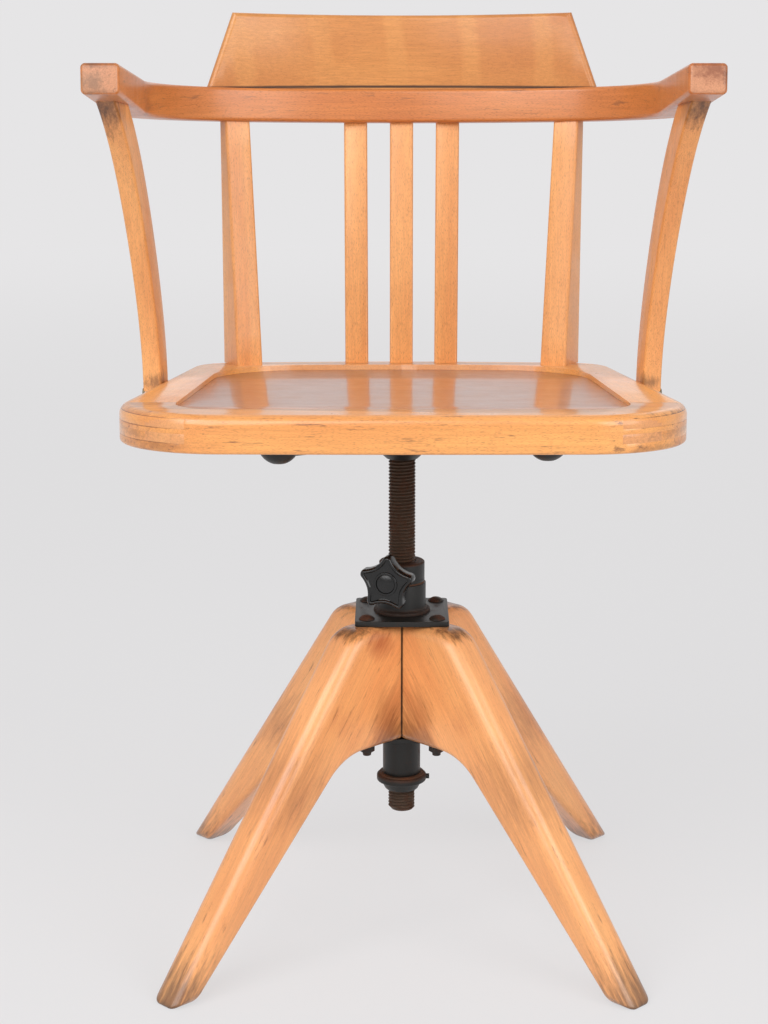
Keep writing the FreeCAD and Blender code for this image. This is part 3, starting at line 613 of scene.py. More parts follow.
@dataclass(frozen=True)
class Beech:
    """Varnished beech, with its growth bands, fibres and the short dark flecks of its rays.

    Attributes:
        pale: The colour of the early wood under the varnish.
        deep: The colour of the late wood.
        gloss: The roughness of the varnish, low where it is glossy.
        coat: How much clear varnish lies on the wood.
        coat_gloss: The roughness of that varnish.
        figure: How the growth rings show.
        fleck: How strongly the rays show.
        stains: The worn patches of this piece.
        shift: Moves the pattern, so that two pieces don't look the same.
        cut_share: How much a cut end differs from the other faces.
    """

    pale: Colour
    deep: Colour
    gloss: float = 0.38
    coat: float = 0.35
    coat_gloss: float = 0.2
    figure: Figure = Figure.STRAIGHT
    fleck: float = 0.45
    stains: tuple[Stain, ...] = ()
    shift: float = 0.0
    cut_share: float = 0.75

    def rings(self, sheet: Sheet, grain: bpy.types.NodeSocket) -> bpy.types.NodeSocket:
        """Give the growth bands, from 0 in pale wood to 1 in deep wood.

        Args:
            sheet: The material's nodes.
            grain: The lengths along and across the grain.

        Returns:
            The strength of the late wood.
        """
        if self.figure is Figure.STRAIGHT:
            return sheet.noise(sheet.stretch(grain, (1.6, 34.0, 34.0), (self.shift,) * 3), 3.0, 0.55, 0.5)
        node = sheet.tree.nodes.new("ShaderNodeTexWave")
        node.wave_type = "RINGS"
        node.rings_direction = "SPHERICAL"
        node.wave_profile = "SIN"
        sheet.fill(node.inputs["Vector"], sheet.stretch(grain, (6.0, 5.2, 2.0), (1.41, -0.04, 0.0)))
        node.inputs["Scale"].default_value = 0.75
        node.inputs["Distortion"].default_value = 1.1
        node.inputs["Detail"].default_value = 2.0
        node.inputs["Detail Scale"].default_value = 0.9
        soft = sheet.noise(sheet.stretch(grain, (2.2, 30.0, 30.0), (self.shift,) * 3), 3.0, 0.5, 0.3)
        arches = sheet.remap(node.outputs["Fac"], 0.78, 1.0, 0.0, 0.3)
        return sheet.calculate("SUBTRACT", soft, arches)

    def colour(
        self, sheet: Sheet, grain: bpy.types.NodeSocket, place: bpy.types.NodeSocket, fibres: bpy.types.NodeSocket
    ) -> bpy.types.NodeSocket:
        """Give the colour of clean wood: its bands, the shade between its fibres and its flecks.

        Args:
            sheet: The material's nodes.
            grain: The lengths along and across the grain.
            place: The place on the piece.
            fibres: The pattern of the fibres.

        Returns:
            The colour.
        """
        bands = sheet.remap(self.rings(sheet, grain), 0.32, 0.68, 0.0, 1.0)
        soft = sheet.noise(sheet.stretch(place, (8.0, 8.0, 8.0), (self.shift,) * 3), 2.0)
        cloud = sheet.remap(soft, 0.3, 0.7, 0.0, 1.0)
        weight = sheet.calculate(
            "ADD", sheet.calculate("MULTIPLY", bands, 0.62), sheet.calculate("MULTIPLY", cloud, 0.38)
        )
        colour = sheet.blend(weight, self.pale, self.deep)
        shade = sheet.remap(fibres, 0.35, 0.7, 0.0, 0.32)
        colour = sheet.blend(shade, colour, tone(self.deep, 0.55))
        rays = sheet.noise(sheet.stretch(grain, (330.0, 2300.0, 2300.0)), 0.0)
        flecks = sheet.remap(rays, 0.6, 0.72, 0.0, self.fleck)
        return sheet.blend(flecks, colour, tone(self.deep, 0.42))

    def open_pores(
        self, sheet: Sheet, colour: bpy.types.NodeSocket, place: bpy.types.NodeSocket
    ) -> bpy.types.NodeSocket:
        """Turn the wood's colour to the paler, porous one of a cut end.

        Args:
            sheet: The material's nodes.
            colour: The wood's colour.
            place: The place on the piece.

        Returns:
            The colour of the cut end.
        """
        pores = sheet.noise(sheet.stretch(place, (900.0, 900.0, 900.0)), 2.0, 0.7)
        colour = sheet.blend(self.cut_share, colour, linear(206, 150, 116))
        return sheet.blend(sheet.remap(pores, 0.35, 0.75, 0.0, 0.6 * self.cut_share), colour, linear(134, 84, 56))

    def soil(
        self,
        sheet: Sheet,
        colour: bpy.types.NodeSocket,
        grain: bpy.types.NodeSocket,
        place: bpy.types.NodeSocket,
    ) -> bpy.types.NodeSocket:
        """Lay the stains over the wood's colour, broken up along the grain.

        Args:
            sheet: The material's nodes.
            colour: The wood's colour.
            grain: The lengths along and across the grain.
            place: The place on the piece.

        Returns:
            The colour with its stains.
        """
        for stain in self.stains:
            patch = sheet.patch(grain if stain.by_grain else place, stain.centre, stain.reach)
            streaks = sheet.noise(sheet.stretch(grain, (26.0, 230.0, 230.0), (3.1, 0.4, 1.7)), 4.0, 0.68)
            broken = sheet.remap(streaks, 0.25, 0.75, -0.55 * stain.streaks, 0.35 * stain.streaks)
            cover = sheet.remap(sheet.calculate("ADD", patch, broken), 0.1, 0.75, 0.0, stain.strength)
            colour = sheet.blend(cover, colour, stain.colour)
        return colour

    def paint(self, name: str, cut_end: bool = False) -> bpy.types.Material:
        """Make the material.

        Args:
            name: The name of the material.
            cut_end: Whether it is for the cut ends of the grain.

        Returns:
            The material.
        """
        sheet = Sheet(name)
        grain = sheet.grain()
        place = sheet.place()
        fibres = sheet.noise(sheet.stretch(grain, (22.0, 620.0, 620.0)), 3.0, 0.6)
        colour = self.colour(sheet, grain, place, fibres)
        if cut_end:
            colour = self.open_pores(sheet, colour, place)
        sheet.fill(sheet.shader.inputs["Base Color"], self.soil(sheet, colour, grain, place))
        dull = sheet.noise(sheet.stretch(place, (30.0, 30.0, 30.0)), 4.0, 0.65)
        spread = 0.1 if cut_end else 0.14
        gloss = min(self.gloss + 0.25, 0.8) if cut_end else self.gloss
        roughness = sheet.remap(dull, 0.3, 0.7, gloss - spread / 2.0, gloss + spread / 2.0)
        sheet.fill(sheet.shader.inputs["Roughness"], roughness)
        sheet.shader.inputs["Coat Weight"].default_value = self.coat
        sheet.shader.inputs["Coat Roughness"].default_value = self.coat_gloss
        ripple = sheet.noise(sheet.stretch(grain, (14.0, 90.0, 90.0)), 2.0)
        relief = sheet.calculate(
            "ADD", sheet.calculate("MULTIPLY", fibres, 0.35), sheet.calculate("MULTIPLY", ripple, 0.65)
        )
        sheet.bump(relief, 0.35, 0.0004)
        return sheet.material

    def dress(self, piece: bpy.types.Object, name: str) -> None:
        """Give a piece this wood on its faces and its cut ends.

        Args:
            piece: The wooden piece.
            name: The name of its material.
        """
        piece.data.materials.append(self.paint(name))
        piece.data.materials.append(self.paint(f"{name}_cut_end", cut_end=True))
        if any(face.material_index == 2 for face in piece.data.polygons):
            piece.data.materials.append(seam_dirt(f"{name}_seam"))


@dataclass(frozen=True)
class Iron:
    """Blackened iron with brown rust in patches.

    Attributes:
        black: The colour of the sound surface.
        rust: The colour of the rust.
        rusting: How much of it has rusted, from 0 to 1.
        gloss: The roughness of the sound surface.
        metal: How metallic it looks, from 0 to 1.
        worn_level: The height of a band that has rusted through, if there is one.
        worn_depth: How far that band goes up and down.
    """

    black: Colour = linear(25, 24, 22)
    rust: Colour = linear(90, 52, 30)
    rusting: float = 0.35
    gloss: float = 0.42
    metal: float = 0.2
    worn_level: float | None = None
    worn_depth: float = 0.01

    def paint(self, name: str) -> bpy.types.Material:
        """Make the material.

        Args:
            name: The name of the material.

        Returns:
            The material.
        """
        sheet = Sheet(name)
        place = sheet.place()
        patches = sheet.noise(sheet.stretch(place, (70.0, 70.0, 70.0)), 5.0, 0.68)
        edge = 0.72 - 0.34 * self.rusting
        rust = sheet.remap(patches, edge, edge + 0.16, 0.0, 0.9)
        if self.worn_level is not None:
            height = sheet.tree.nodes.new("ShaderNodeSeparateXYZ")
            sheet.fill(height.inputs[0], place)
            away = sheet.calculate("ABSOLUTE", sheet.calculate("SUBTRACT", height.outputs["Z"], self.worn_level))
            band = sheet.remap(away, 0.0, self.worn_depth, 0.9, 0.0)
            worn = sheet.calculate("MULTIPLY", band, sheet.remap(patches, 0.3, 0.6, 0.4, 1.0))
            rust = sheet.calculate("MAXIMUM", rust, worn)
        speckle = sheet.noise(sheet.stretch(place, (900.0, 900.0, 900.0)), 2.0, 0.6)
        black = sheet.blend(sheet.remap(speckle, 0.4, 0.75, 0.0, 0.6), self.black, tone(self.black, 1.8))
        brown = sheet.blend(sheet.remap(speckle, 0.3, 0.7, 0.0, 1.0), self.rust, tone(self.rust, 0.4))
        sheet.fill(sheet.shader.inputs["Base Color"], sheet.blend(rust, black, brown))
        sheet.fill(sheet.shader.inputs["Roughness"], sheet.remap(rust, 0.0, 1.0, self.gloss, 0.85))
        sheet.shader.inputs["Metallic"].default_value = self.metal
        sheet.bump(sheet.calculate("ADD", speckle, sheet.calculate("MULTIPLY", rust, 0.6)), 0.45, 0.00025)
        return sheet.material


@dataclass(frozen=True)
class Bakelite:
    """Black moulded resin, glossy and finely scratched.

    Attributes:
        black: Its colour.
        gloss: Its roughness.
    """

    black: Colour = linear(10, 10, 10)
    gloss: float = 0.13

    def paint(self, name: str) -> bpy.types.Material:
        """Make the material.

        Args:
            name: The name of the material.

        Returns:
            The material.
        """
        sheet = Sheet(name)
        place = sheet.place()
        dust = sheet.noise(sheet.stretch(place, (260.0, 260.0, 260.0)), 4.0, 0.7)
        dusty = sheet.blend(sheet.remap(dust, 0.45, 0.8, 0.0, 0.45), self.black, linear(36, 36, 35))
        sheet.fill(sheet.shader.inputs["Base Color"], dusty)
        sheet.fill(sheet.shader.inputs["Roughness"], sheet.remap(dust, 0.3, 0.8, self.gloss, self.gloss + 0.22))
        sheet.bump(dust, 0.12, 0.0002)
        return sheet.material


def seam_dirt(name: str) -> bpy.types.Material:
    """Make the dark dirt that has settled in a joint.

    Args:
        name: The name of the material.

    Returns:
        The material.
    """
    sheet = Sheet(name)
    cloud = sheet.noise(sheet.stretch(sheet.place(), (120.0, 120.0, 120.0)), 3.0, 0.6)
    colour = sheet.blend(sheet.remap(cloud, 0.35, 0.65, 0.0, 1.0), linear(50, 30, 18), linear(132, 80, 46))
    sheet.fill(sheet.shader.inputs["Base Color"], colour)
    sheet.shader.inputs["Roughness"].default_value = 0.8
    return sheet.material


def finish(
    piece: bpy.types.Object, body: Body, slot: Slot, *nodes: str, material: bpy.types.Material | None = None
) -> bpy.types.Object:
    """Hand a finished piece over: its body, the nodes it stands for and its material.

    Args:
        piece: The finished piece.
        body: The body that it moves with.
        slot: Not used.
        nodes: The nodes that it replaces.
        material: Its only material, if it isn't dressed yet.

    Returns:
        The same piece.
    """
    if material is not None:
        piece.data.materials.clear()
        piece.data.materials.append(material)
    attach(piece, body.value)
    if nodes:
        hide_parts(*nodes)
    log.info("%s rides on %s", piece.name, body.value)
    return piece


def repaint(node: str, material: bpy.types.Material) -> None:
    """Give a node that stays its own material.

    Args:
        node: The node.
        material: The material that it gets.
    """
    slots = frame["nodes"][node].material_slots
    for index in range(len(slots)):
        slots[index].material = material
    log.info("%s keeps its shape", node)


# The chair's finishes

LEG_WOOD = Beech(
    pale=linear(252, 184, 118), deep=linear(234, 154, 94), gloss=0.36, coat=0.5, coat_gloss=0.24, fleck=0.22
)
CREST_WOOD = Beech(
    pale=linear(216, 148, 80),
    deep=linear(194, 120, 58),
    gloss=0.4,
    coat=0.3,
    figure=Figure.ARCHED,
    fleck=0.25,
)
BOW_WOOD = Beech(pale=linear(222, 142, 76), deep=linear(194, 110, 54), gloss=0.38, coat=0.35)
POST_WOOD = Beech(pale=linear(250, 182, 112), deep=linear(226, 148, 84), gloss=0.4, coat=0.35)
SEAT_WOOD = Beech(pale=linear(248, 176, 98), deep=linear(224, 144, 76), gloss=0.34, coat=0.7, coat_gloss=0.16)
PANEL_WOOD = Beech(pale=linear(194, 122, 68), deep=linear(166, 94, 50), gloss=0.36, coat=0.8, coat_gloss=0.14)
BARE_WOOD = Beech(pale=linear(214, 164, 116), deep=linear(182, 128, 84), gloss=0.6, coat=0.0)


@dataclass
class Legs:
    """Four splayed legs that meet in a mitred core.

    Attributes:
        shoulder: How far out the top of a leg goes before it slopes down.
        reach: How far out its foot ends.
        top: The height of its top.
        ease: How far its hard edges are eased.
        axis_y: Where the swivel axis lies from front to back.
    """

    shoulder: float = 0.076
    reach: float = 0.302
    top: float = 0.302
    ease: float = 0.0006
    axis_y: float = 0.0

    def slope(self, side_x: int, side_y: int) -> Vector:
        """Give the direction in which one leg runs outwards and down.

        Args:
            side_x: 1 on the right, -1 on the left.
            side_y: 1 at the back, -1 at the front.

        Returns:
            The direction of the leg.
        """
        out = (self.reach - self.shoulder) * math.sqrt(0.5)
        return Vector((side_x * out, side_y * out, -self.top)).normalized()

    def stains(self, side_x: int, side_y: int) -> tuple[Stain, ...]:
        """List the worn patches of one leg: its foot, its shoulder under the plate and its core.

        Args:
            side_x: 1 on the right, -1 on the left.
            side_y: 1 at the back, -1 at the front.

        Returns:
            The patches.
        """
        foot = self.reach * math.sqrt(0.5)
        brown, black = linear(140, 84, 48), linear(16, 11, 8)

        def spot(x: float, y: float, z: float) -> Point:
            """Give a place on this leg's quarter of the chair."""
            return (side_x * x, self.axis_y + side_y * y, z)

        return (
            Stain(spot(foot, foot, 0.0), (0.09, 0.09, 0.07), linear(74, 52, 38), 0.72),
            Stain(spot(foot, foot, -0.004), (0.2, 0.2, 0.011), linear(46, 32, 24), 0.85, 0.4),
            Stain(spot(0.052, 0.052, self.top), (0.034, 0.034, 0.014), linear(52, 40, 30), 0.8),
            Stain((0.0, self.axis_y - 0.004, 0.196), (0.06, 0.06, 0.085), brown, 0.25, 0.6),
            Stain(spot(0.0, 0.06, 0.184), (0.046, 0.06, 0.036), linear(58, 30, 14), 0.95, 0.45),
            Stain(spot(0.012, 0.055, 0.21), (0.024, 0.05, 0.05), linear(140, 76, 38), 0.6, 0.5),
            Stain((-0.018, self.axis_y - 0.055, 0.288), (0.02, 0.04, 0.024), linear(168, 78, 40), 0.75, 0.6),
            Stain(spot(0.062, 0.055, 0.222), (0.022, 0.05, 0.03), linear(178, 92, 52), 0.55, 0.6),
            Stain((0.0, self.axis_y, 0.25), (0.0016, 0.2, 0.3), black, 1.0, 0.15),
            Stain((0.0, self.axis_y, 0.25), (0.2, 0.0016, 0.3), black, 1.0, 0.15),
            Stain(spot(0.11, 0.11, 0.17), (0.07, 0.07, 0.07), brown, 0.42),
        )

    def build(self) -> None:
        """Model and dress the four legs."""
        names = {(-1, -1): "front_left", (1, -1): "front_right", (-1, 1): "rear_left", (1, 1): "rear_right"}
        for (side_x, side_y), place in names.items():
            piece = Bench.copy_of(f"leg_{place}", f"leg_{place}_wood")
            Bench.soften(piece, self.ease, 2, 50.0)
            Bench.smooth(piece)
            along = self.slope(side_x, side_y)
            start = Vector((0.0, self.axis_y, self.top))
            lay_grain(piece, Run(start, along, Vector((-side_y, side_x, 0.0))), 0.86)
            shift = 3.7 * side_x + 9.1 * side_y
            wood = replace(LEG_WOOD, stains=self.stains(side_x, side_y), shift=shift)
            wood.dress(piece, f"leg_{place}_beech")
            finish(piece, Body.BASE, Slot.LEG_BEECH, f"leg_{place}")


@dataclass
class Hub:
    """The iron hub in the core: top plate, sleeve, bottom plate, bushes and bolts.

    Attributes:
        plate_round: How far the plates' edges are rounded.
        sleeve_round: How far the sleeve's edges are rounded.
        axis_y: Where the swivel axis lies from front to back.
        weld_radius: The radius of the weld bead's middle line.
        weld_size: The thickness of the bead, as a radius.
        weld_drops: How many drops the bead was laid in.
    """

    plate_round: float = 0.0009
    sleeve_round: float = 0.0006
    axis_y: float = 0.0
    weld_radius: float = 0.0245
    weld_size: float = 0.0023
    weld_drops: int = 23

    def weld(self, level: float) -> bpy.types.Object:
        """Model the lumpy weld bead round the foot of the sleeve.

        Args:
            level: The height of the plate's top.

        Returns:
            The bead.
        """
        bpy.ops.object.select_all(action="DESELECT")
        bpy.ops.mesh.primitive_torus_add(
            location=(0.0, self.axis_y, level + 0.0012),
            major_segments=138,
            minor_segments=12,
            major_radius=self.weld_radius,
            minor_radius=self.weld_size,
        )
        bead = Bench.named("weld_bead")
        for vertex in bead.data.vertices:
            angle = math.atan2(vertex.co.y, vertex.co.x)
            ring = vertex.co.xy.normalized().to_3d() * self.weld_radius
            lump = 0.86 + 0.13 * abs(math.sin(angle * self.weld_drops / 2.0)) + 0.08 * math.sin(3.0 * angle + 0.6)
            vertex.co = ring + (vertex.co - ring) * lump
        Bench.settle(bead)
        return bead

    def build(self) -> None:
        """Model and dress the hub."""
        iron = Iron(rusting=0.3)
        for node, width in (("hub_top_plate", self.plate_round), ("hub_bottom_plate", self.plate_round)):
            piece = Bench.copy_of(node, f"{node}_iron")
            Bench.soften(piece, width, 3)
            Bench.smooth(piece)
            finish(piece, Body.BASE, Slot.BLACK_IRON, node, material=iron.paint(f"{node}_black_iron"))
        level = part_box("hub_top_plate")[1].z
        sleeve = Bench.copy_of("hub_sleeve", "sleeve_body")
        Bench.soften(sleeve, self.sleeve_round, 3)
        sleeve = Bench.join([sleeve, self.weld(level)], "hub_sleeve_iron")
        Bench.smooth(sleeve, 25.0)
        welded = Iron(rust=linear(70, 43, 27), rusting=0.25, worn_level=level + 0.001, worn_depth=0.006)
        finish(sleeve, Body.BASE, Slot.BLACK_IRON, "hub_sleeve", material=welded.paint("hub_sleeve_welded_iron"))
        fastener = Iron(black=linear(40, 33, 28), rust=linear(96, 52, 28), rusting=0.8, gloss=0.5)
        for node, width in (("hub_bolts", 0.0008), ("hub_bolt_washers", 0.0004), ("hub_bolt_nuts", 0.0007)):
            piece = Bench.copy_of(node, f"{node}_steel")
            Bench.soften(piece, width, 3)
            Bench.smooth(piece)
            finish(piece, Body.BASE, Slot.HUB_FASTENERS, node, material=fastener.paint(f"{node}_rusty_steel"))
        bronze = Iron(black=linear(150, 108, 62), rust=linear(88, 60, 36), rusting=0.4, gloss=0.35, metal=0.9)
        bushing = bronze.paint("bush_bronze")
        repaint("upper_bush", bushing)
        repaint("lower_bush", bushing)


@dataclass
class LiftScrew:
    """The threaded spindle that carries the seat, with a real helical thread.

    Attributes:
        radius: The radius of the thread's crests.
        depth: The depth of the thread.
        pitch: The rise of one turn.
        crest: The width of the flat on a crest.
        low: The height of its lower end.
        high: The height at which the thread ends.
        top: The height of its upper end.
        end_cone: The height of the cone at its lower end.
        axis_y: Where the swivel axis lies from front to back.
    """

    radius: float = 0.0127
    depth: float = 0.0014
    pitch: float = 0.003175
    crest: float = 0.0004
    low: float = 0.108
    high: float = 0.4565
    top: float = 0.482
    end_cone: float = 0.0018
    axis_y: float = 0.0

    def profile(self) -> bpy.types.Object:
        """Make the zigzag of one turn, from root to root.

        Returns:
            A piece with three edges.
        """
        bpy.ops.mesh.primitive_plane_add(size=self.pitch)
        zigzag = Bench.named("spindle_thread")
        bpy.ops.object.mode_set(mode="EDIT")
        bpy.ops.mesh.select_all(action="SELECT")
        bpy.ops.mesh.delete(type="ONLY_FACE")
        bpy.ops.object.mode_set(mode="OBJECT")
        links = [tuple(edge.vertices) for edge in zigzag.data.edges]
        order = [links[0][0]]
        while len(order) < 4:
            last = order[-1]
            order.append(next(b if a == last else a for a, b in links if last in (a, b) and not {a, b} <= set(order)))
        root = self.radius - self.depth
        half = (self.pitch - self.crest) / 2.0
        spots = ((root, 0.0), (self.radius, half), (self.radius, half + self.crest), (root, self.pitch))
        for index, (x, z) in zip(order, spots):
            zigzag.data.vertices[index].co = (x, 0.0, z)
        Bench.choose_edges(zigzag, lambda a, b: abs(a.x - root) < 1e-6 and abs(b.x - root) < 1e-6)
        bpy.ops.mesh.delete(type="EDGE")
        Bench.leave()
        return zigzag

    def build(self) -> None:
        """Model and dress the spindle."""
        piece = self.profile()
        turns = math.ceil((self.high - self.low) / self.pitch) + 2
        winding = piece.modifiers.new("winding", "SCREW")
        winding.axis = "Z"
        winding.steps = 40
        winding.render_steps = 40
        winding.screw_offset = self.pitch
        winding.iterations = turns
        winding.use_merge_vertices = True
        winding.merge_threshold = 1e-6
        Bench.take(piece)
        bpy.ops.object.modifier_apply(modifier=winding.name)
        piece.location = (0.0, self.axis_y, self.low - self.pitch)
        Bench.settle(piece)
        for height, keep_above in ((self.low + self.end_cone, True), (self.high, False)):
            Bench.take(piece)
            bpy.ops.object.mode_set(mode="EDIT")
            bpy.ops.mesh.select_all(action="SELECT")
            bpy.ops.mesh.bisect(
                plane_co=(0.0, self.axis_y, height),
                plane_no=(0.0, 0.0, 1.0),
                use_fill=True,
                clear_inner=keep_above,
                clear_outer=not keep_above,
            )
            bpy.ops.object.mode_set(mode="OBJECT")
        centre = (0.0, self.axis_y, self.low)
        Bench.choose_faces(piece, lambda c, n: abs(n.z) > 0.99 and c.z < self.low + self.end_cone + 1e-5)
        bpy.ops.mesh.extrude_region_move(TRANSFORM_OT_translate={"value": (0.0, 0.0, -self.end_cone)})
        bpy.ops.transform.resize(value=(0.88, 0.88, 1.0), center_override=centre)
        Bench.leave()
        Bench.choose_faces(piece, lambda c, n: abs(n.z) > 0.99 and c.z > self.high - 1e-5)
        bpy.ops.mesh.extrude_region_move(TRANSFORM_OT_translate={"value": (0.0, 0.0, self.top - self.high)})
        Bench.leave()
        Bench.face_outwards(piece)
        Bench.smooth(piece, 30.0)
        steel = Iron(black=linear(78, 62, 50), rust=linear(100, 66, 46), rusting=0.75, gloss=0.45, metal=0.5)
        finish(piece, Body.SEAT, Slot.SCREW_STEEL, "screw_spindle", material=steel.paint("spindle_rusty_steel"))


@dataclass
class HeightClamp:
    """The quill with its collar, the height nut, and the clamp with its star knob.

    Attributes:
        axis_y: Where the swivel axis lies from front to back.
        level: The height of the clamp's axis.
        turn: How far the clamp is turned from the front, in degrees.
        seat_distance: How far out the knob's neck starts.
        neck_length: The length of the knob's neck.
        neck_radius: The radius of the neck.
        body_length: The thickness of the star.
        tips: How many tips the star has.
        star_turn: How far the star is turned from upright, in degrees.
        tip_radius: The rounding of a tip.
        tip_circle: How far out a tip's rounding has its centre.
        valley: How far out the middle of a side lies.
        boss_radius: The radius of the raised ring in the middle.
        disc_radius: The radius of the disc in that ring.
    """

    axis_y: float = 0.0
    level: float = 0.345
    turn: float = -17.0
    seat_distance: float = 0.033
    neck_length: float = 0.006
    neck_radius: float = 0.009
    body_length: float = 0.015
    tips: int = 5
    star_turn: float = -3.3
    tip_radius: float = 0.0046
    tip_circle: float = 0.0218
    valley: float = 0.019
    boss_radius: float = 0.0112
    disc_radius: float = 0.0090

    def reach(self, degrees: float, inset: float) -> float:
        """Give how far out the star's outline lies at an angle.

        Args:
            degrees: The angle from +X.
            inset: How far the outline is drawn in.

        Returns:
            The distance from the star's centre.
        """
        step = 360.0 / self.tips
        away = abs((degrees - 90.0 - self.star_turn + step / 2.0) % step - step / 2.0)
        rounding = max(self.tip_radius - inset, 0.0006)
        tip_end = math.degrees(math.asin(0.9 * rounding / self.tip_circle))
        angle = math.radians(min(away, tip_end))
        side = math.sqrt(rounding**2 - (self.tip_circle * math.sin(angle)) ** 2)
        tip = self.tip_circle * math.cos(angle) + side
        if away <= tip_end:
            return tip
        share = (step / 2.0 - away) / (step / 2.0 - tip_end)
        valley = self.valley - inset
        return valley + (tip - valley) * (0.25 * share + 0.75 * share**3)

    def star(self) -> bpy.types.Object:
        """Model the star level by level, with its rounded rim and hollow face.

        Returns:
            The star, about the Z axis.
        """
        back, front = self.neck_length, self.neck_length + self.body_length
        levels = (
            (back, 0.0030),
            (back + 0.0004, 0.0016),
            (back + 0.0014, 0.0005),
            (back + 0.0030, 0.0),
            (front - 0.0032, 0.0),
            (front - 0.0015, 0.0004),
            (front - 0.0005, 0.0012),
            (front, 0.0022),
            (front, 0.0028),
            (front - 0.0003, 0.0034),
            (front - 0.0012, 0.0039),
            (front - 0.0017, 0.0048),
            (front - 0.0017, 0.0062),
        )
        bpy.ops.object.select_all(action="DESELECT")
        bpy.ops.mesh.primitive_circle_add(vertices=180, radius=self.tip_circle, fill_type="NGON")
        star = Bench.named("star")
        for index, (height, inset) in enumerate(levels):
            if index:
                last = levels[index - 1][0]
                Bench.choose_faces(star, lambda c, n: abs(n.z) > 0.99 and c.xy.length < 0.001 and c.z > last - 1e-6)
                bpy.ops.mesh.extrude_region_move(TRANSFORM_OT_translate={"value": (0.0, 0.0, height - last)})
                Bench.leave()
            for vertex in star.data.vertices:
                if vertex.select or not index:
                    angle = math.degrees(math.atan2(vertex.co.y, vertex.co.x))
                    spot = vertex.co.xy.normalized() * self.reach(angle, inset)
                    vertex.co = (spot.x, spot.y, height)
        return star

    def boss(self) -> bpy.types.Object:
        """Model the ring in the middle of the star, with its sunk disc.

        Returns:
            The ring, about the Z axis.
        """
        top = self.neck_length + self.body_length
        bpy.ops.object.select_all(action="DESELECT")
        bpy.ops.mesh.primitive_cylinder_add(
            vertices=64, radius=self.boss_radius, depth=0.006, location=(0.0, 0.0, top - 0.0034)
        )
        boss = Bench.named("boss")
        Bench.settle(boss)
        Bench.choose_edges(boss, lambda a, b: a.z > top - 0.001 and b.z > top - 0.001)
        bpy.ops.mesh.bevel(offset=0.0007, segments=3, affect="EDGES")
        Bench.leave()
        for inset, drop in ((self.boss_radius - self.disc_radius - 0.0009, 0.0), (0.0005, -0.0009), (0.0005, 0.0004)):
            Bench.choose_faces(boss, lambda c, n: n.z > 0.99 and len_of_face(boss, c) > 60)
            bpy.ops.mesh.inset(thickness=inset, depth=drop)
            Bench.leave()
        return boss

    def neck(self) -> bpy.types.Object:
        """Model the neck behind the star, flared to meet it.

        Returns:
            The neck, about the Z axis.
        """
        bpy.ops.object.select_all(action="DESELECT")
        bpy.ops.mesh.primitive_cylinder_add(
            vertices=48,
            radius=self.neck_radius,
            depth=self.neck_length + 0.001,
            location=(0.0, 0.0, self.neck_length / 2.0 + 0.0005),
        )
        neck = Bench.named("neck")
        Bench.settle(neck)
        Bench.choose_faces(neck, lambda c, n: n.z > 0.99)
        bpy.ops.transform.resize(value=(1.25, 1.25, 1.0), center_override=(0.0, 0.0, self.neck_length))
        Bench.leave()
        Bench.choose_edges(neck, lambda a, b: a.z < 1e-5 and b.z < 1e-5)
        bpy.ops.mesh.bevel(offset=0.0008, segments=3, affect="EDGES")
        Bench.leave()
        return neck

    def knob(self) -> None:
        """Model, place and dress the knob."""
        knob = Bench.join([self.star(), self.boss(), self.neck()], "clamp_knob_star")
        angle = math.radians(-90.0 + self.turn)
        out = Vector((math.cos(angle), math.sin(angle), 0.0))
        knob.rotation_euler = Euler((math.radians(90.0), 0.0, math.radians(self.turn)))
        knob.location = Vector((0.0, self.axis_y, self.level)) + out * self.seat_distance
        Bench.settle(knob)
        Bench.face_outwards(knob)
        Bench.smooth(knob, 40.0)
        finish(knob, Body.KNOB, Slot.BLACK_BAKELITE, "clamp_knob", material=Bakelite().paint("knob_bakelite"))

    def build(self) -> None:
        """Model and dress the quill, the collar, the nut and the clamp."""
        iron = Iron(rusting=0.22, gloss=0.4)
        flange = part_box("swivel_quill")[1].z
        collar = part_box("retaining_collar")[1].z
        pieces = (
            ("swivel_quill", Body.QUILL, 0.0003, Iron(rusting=0.3)),
            ("retaining_collar", Body.QUILL, 0.0003, Iron(rusting=0.2, worn_level=collar, worn_depth=0.0035)),
            ("height_nut", Body.NUT, 0.0005, Iron(rusting=0.2, worn_level=flange + 0.0155, worn_depth=0.002)),
        )
        for node, body, width, finish_of in pieces:
            piece = Bench.copy_of(node, f"{node}_iron")
            Bench.soften(piece, width, 2)
            Bench.smooth(piece)
            finish(piece, body, Slot.BLACK_IRON, node, material=finish_of.paint(f"{node}_black_iron"))
        rusty = Iron(black=linear(70, 46, 30), rust=linear(112, 66, 36), rusting=0.95, gloss=0.6, metal=0.1)
        washer = rusty.paint("thrust_washer_rust")
        repaint("upper_thrust_washer", washer)
        repaint("lower_thrust_washer", washer)
        repaint("collar_set_screw", iron.paint("set_screw_steel"))
        repaint("clamp_stud", iron.paint("clamp_stud_steel"))
        repaint("clamp_pad", rusty.paint("clamp_pad_brass"))
        self.knob()


def len_of_face(piece: bpy.types.Object, centre: Vector) -> int:
    """Count the corners of the face that has this centre.

    Args:
        piece: The piece.
        centre: The face's centre.

    Returns:
        The number of corners, or 0 if no face has that centre.
    """
    for face in piece.data.polygons:
        if (face.center - centre).length < 1e-9:
            return len(face.vertices)
    return 0


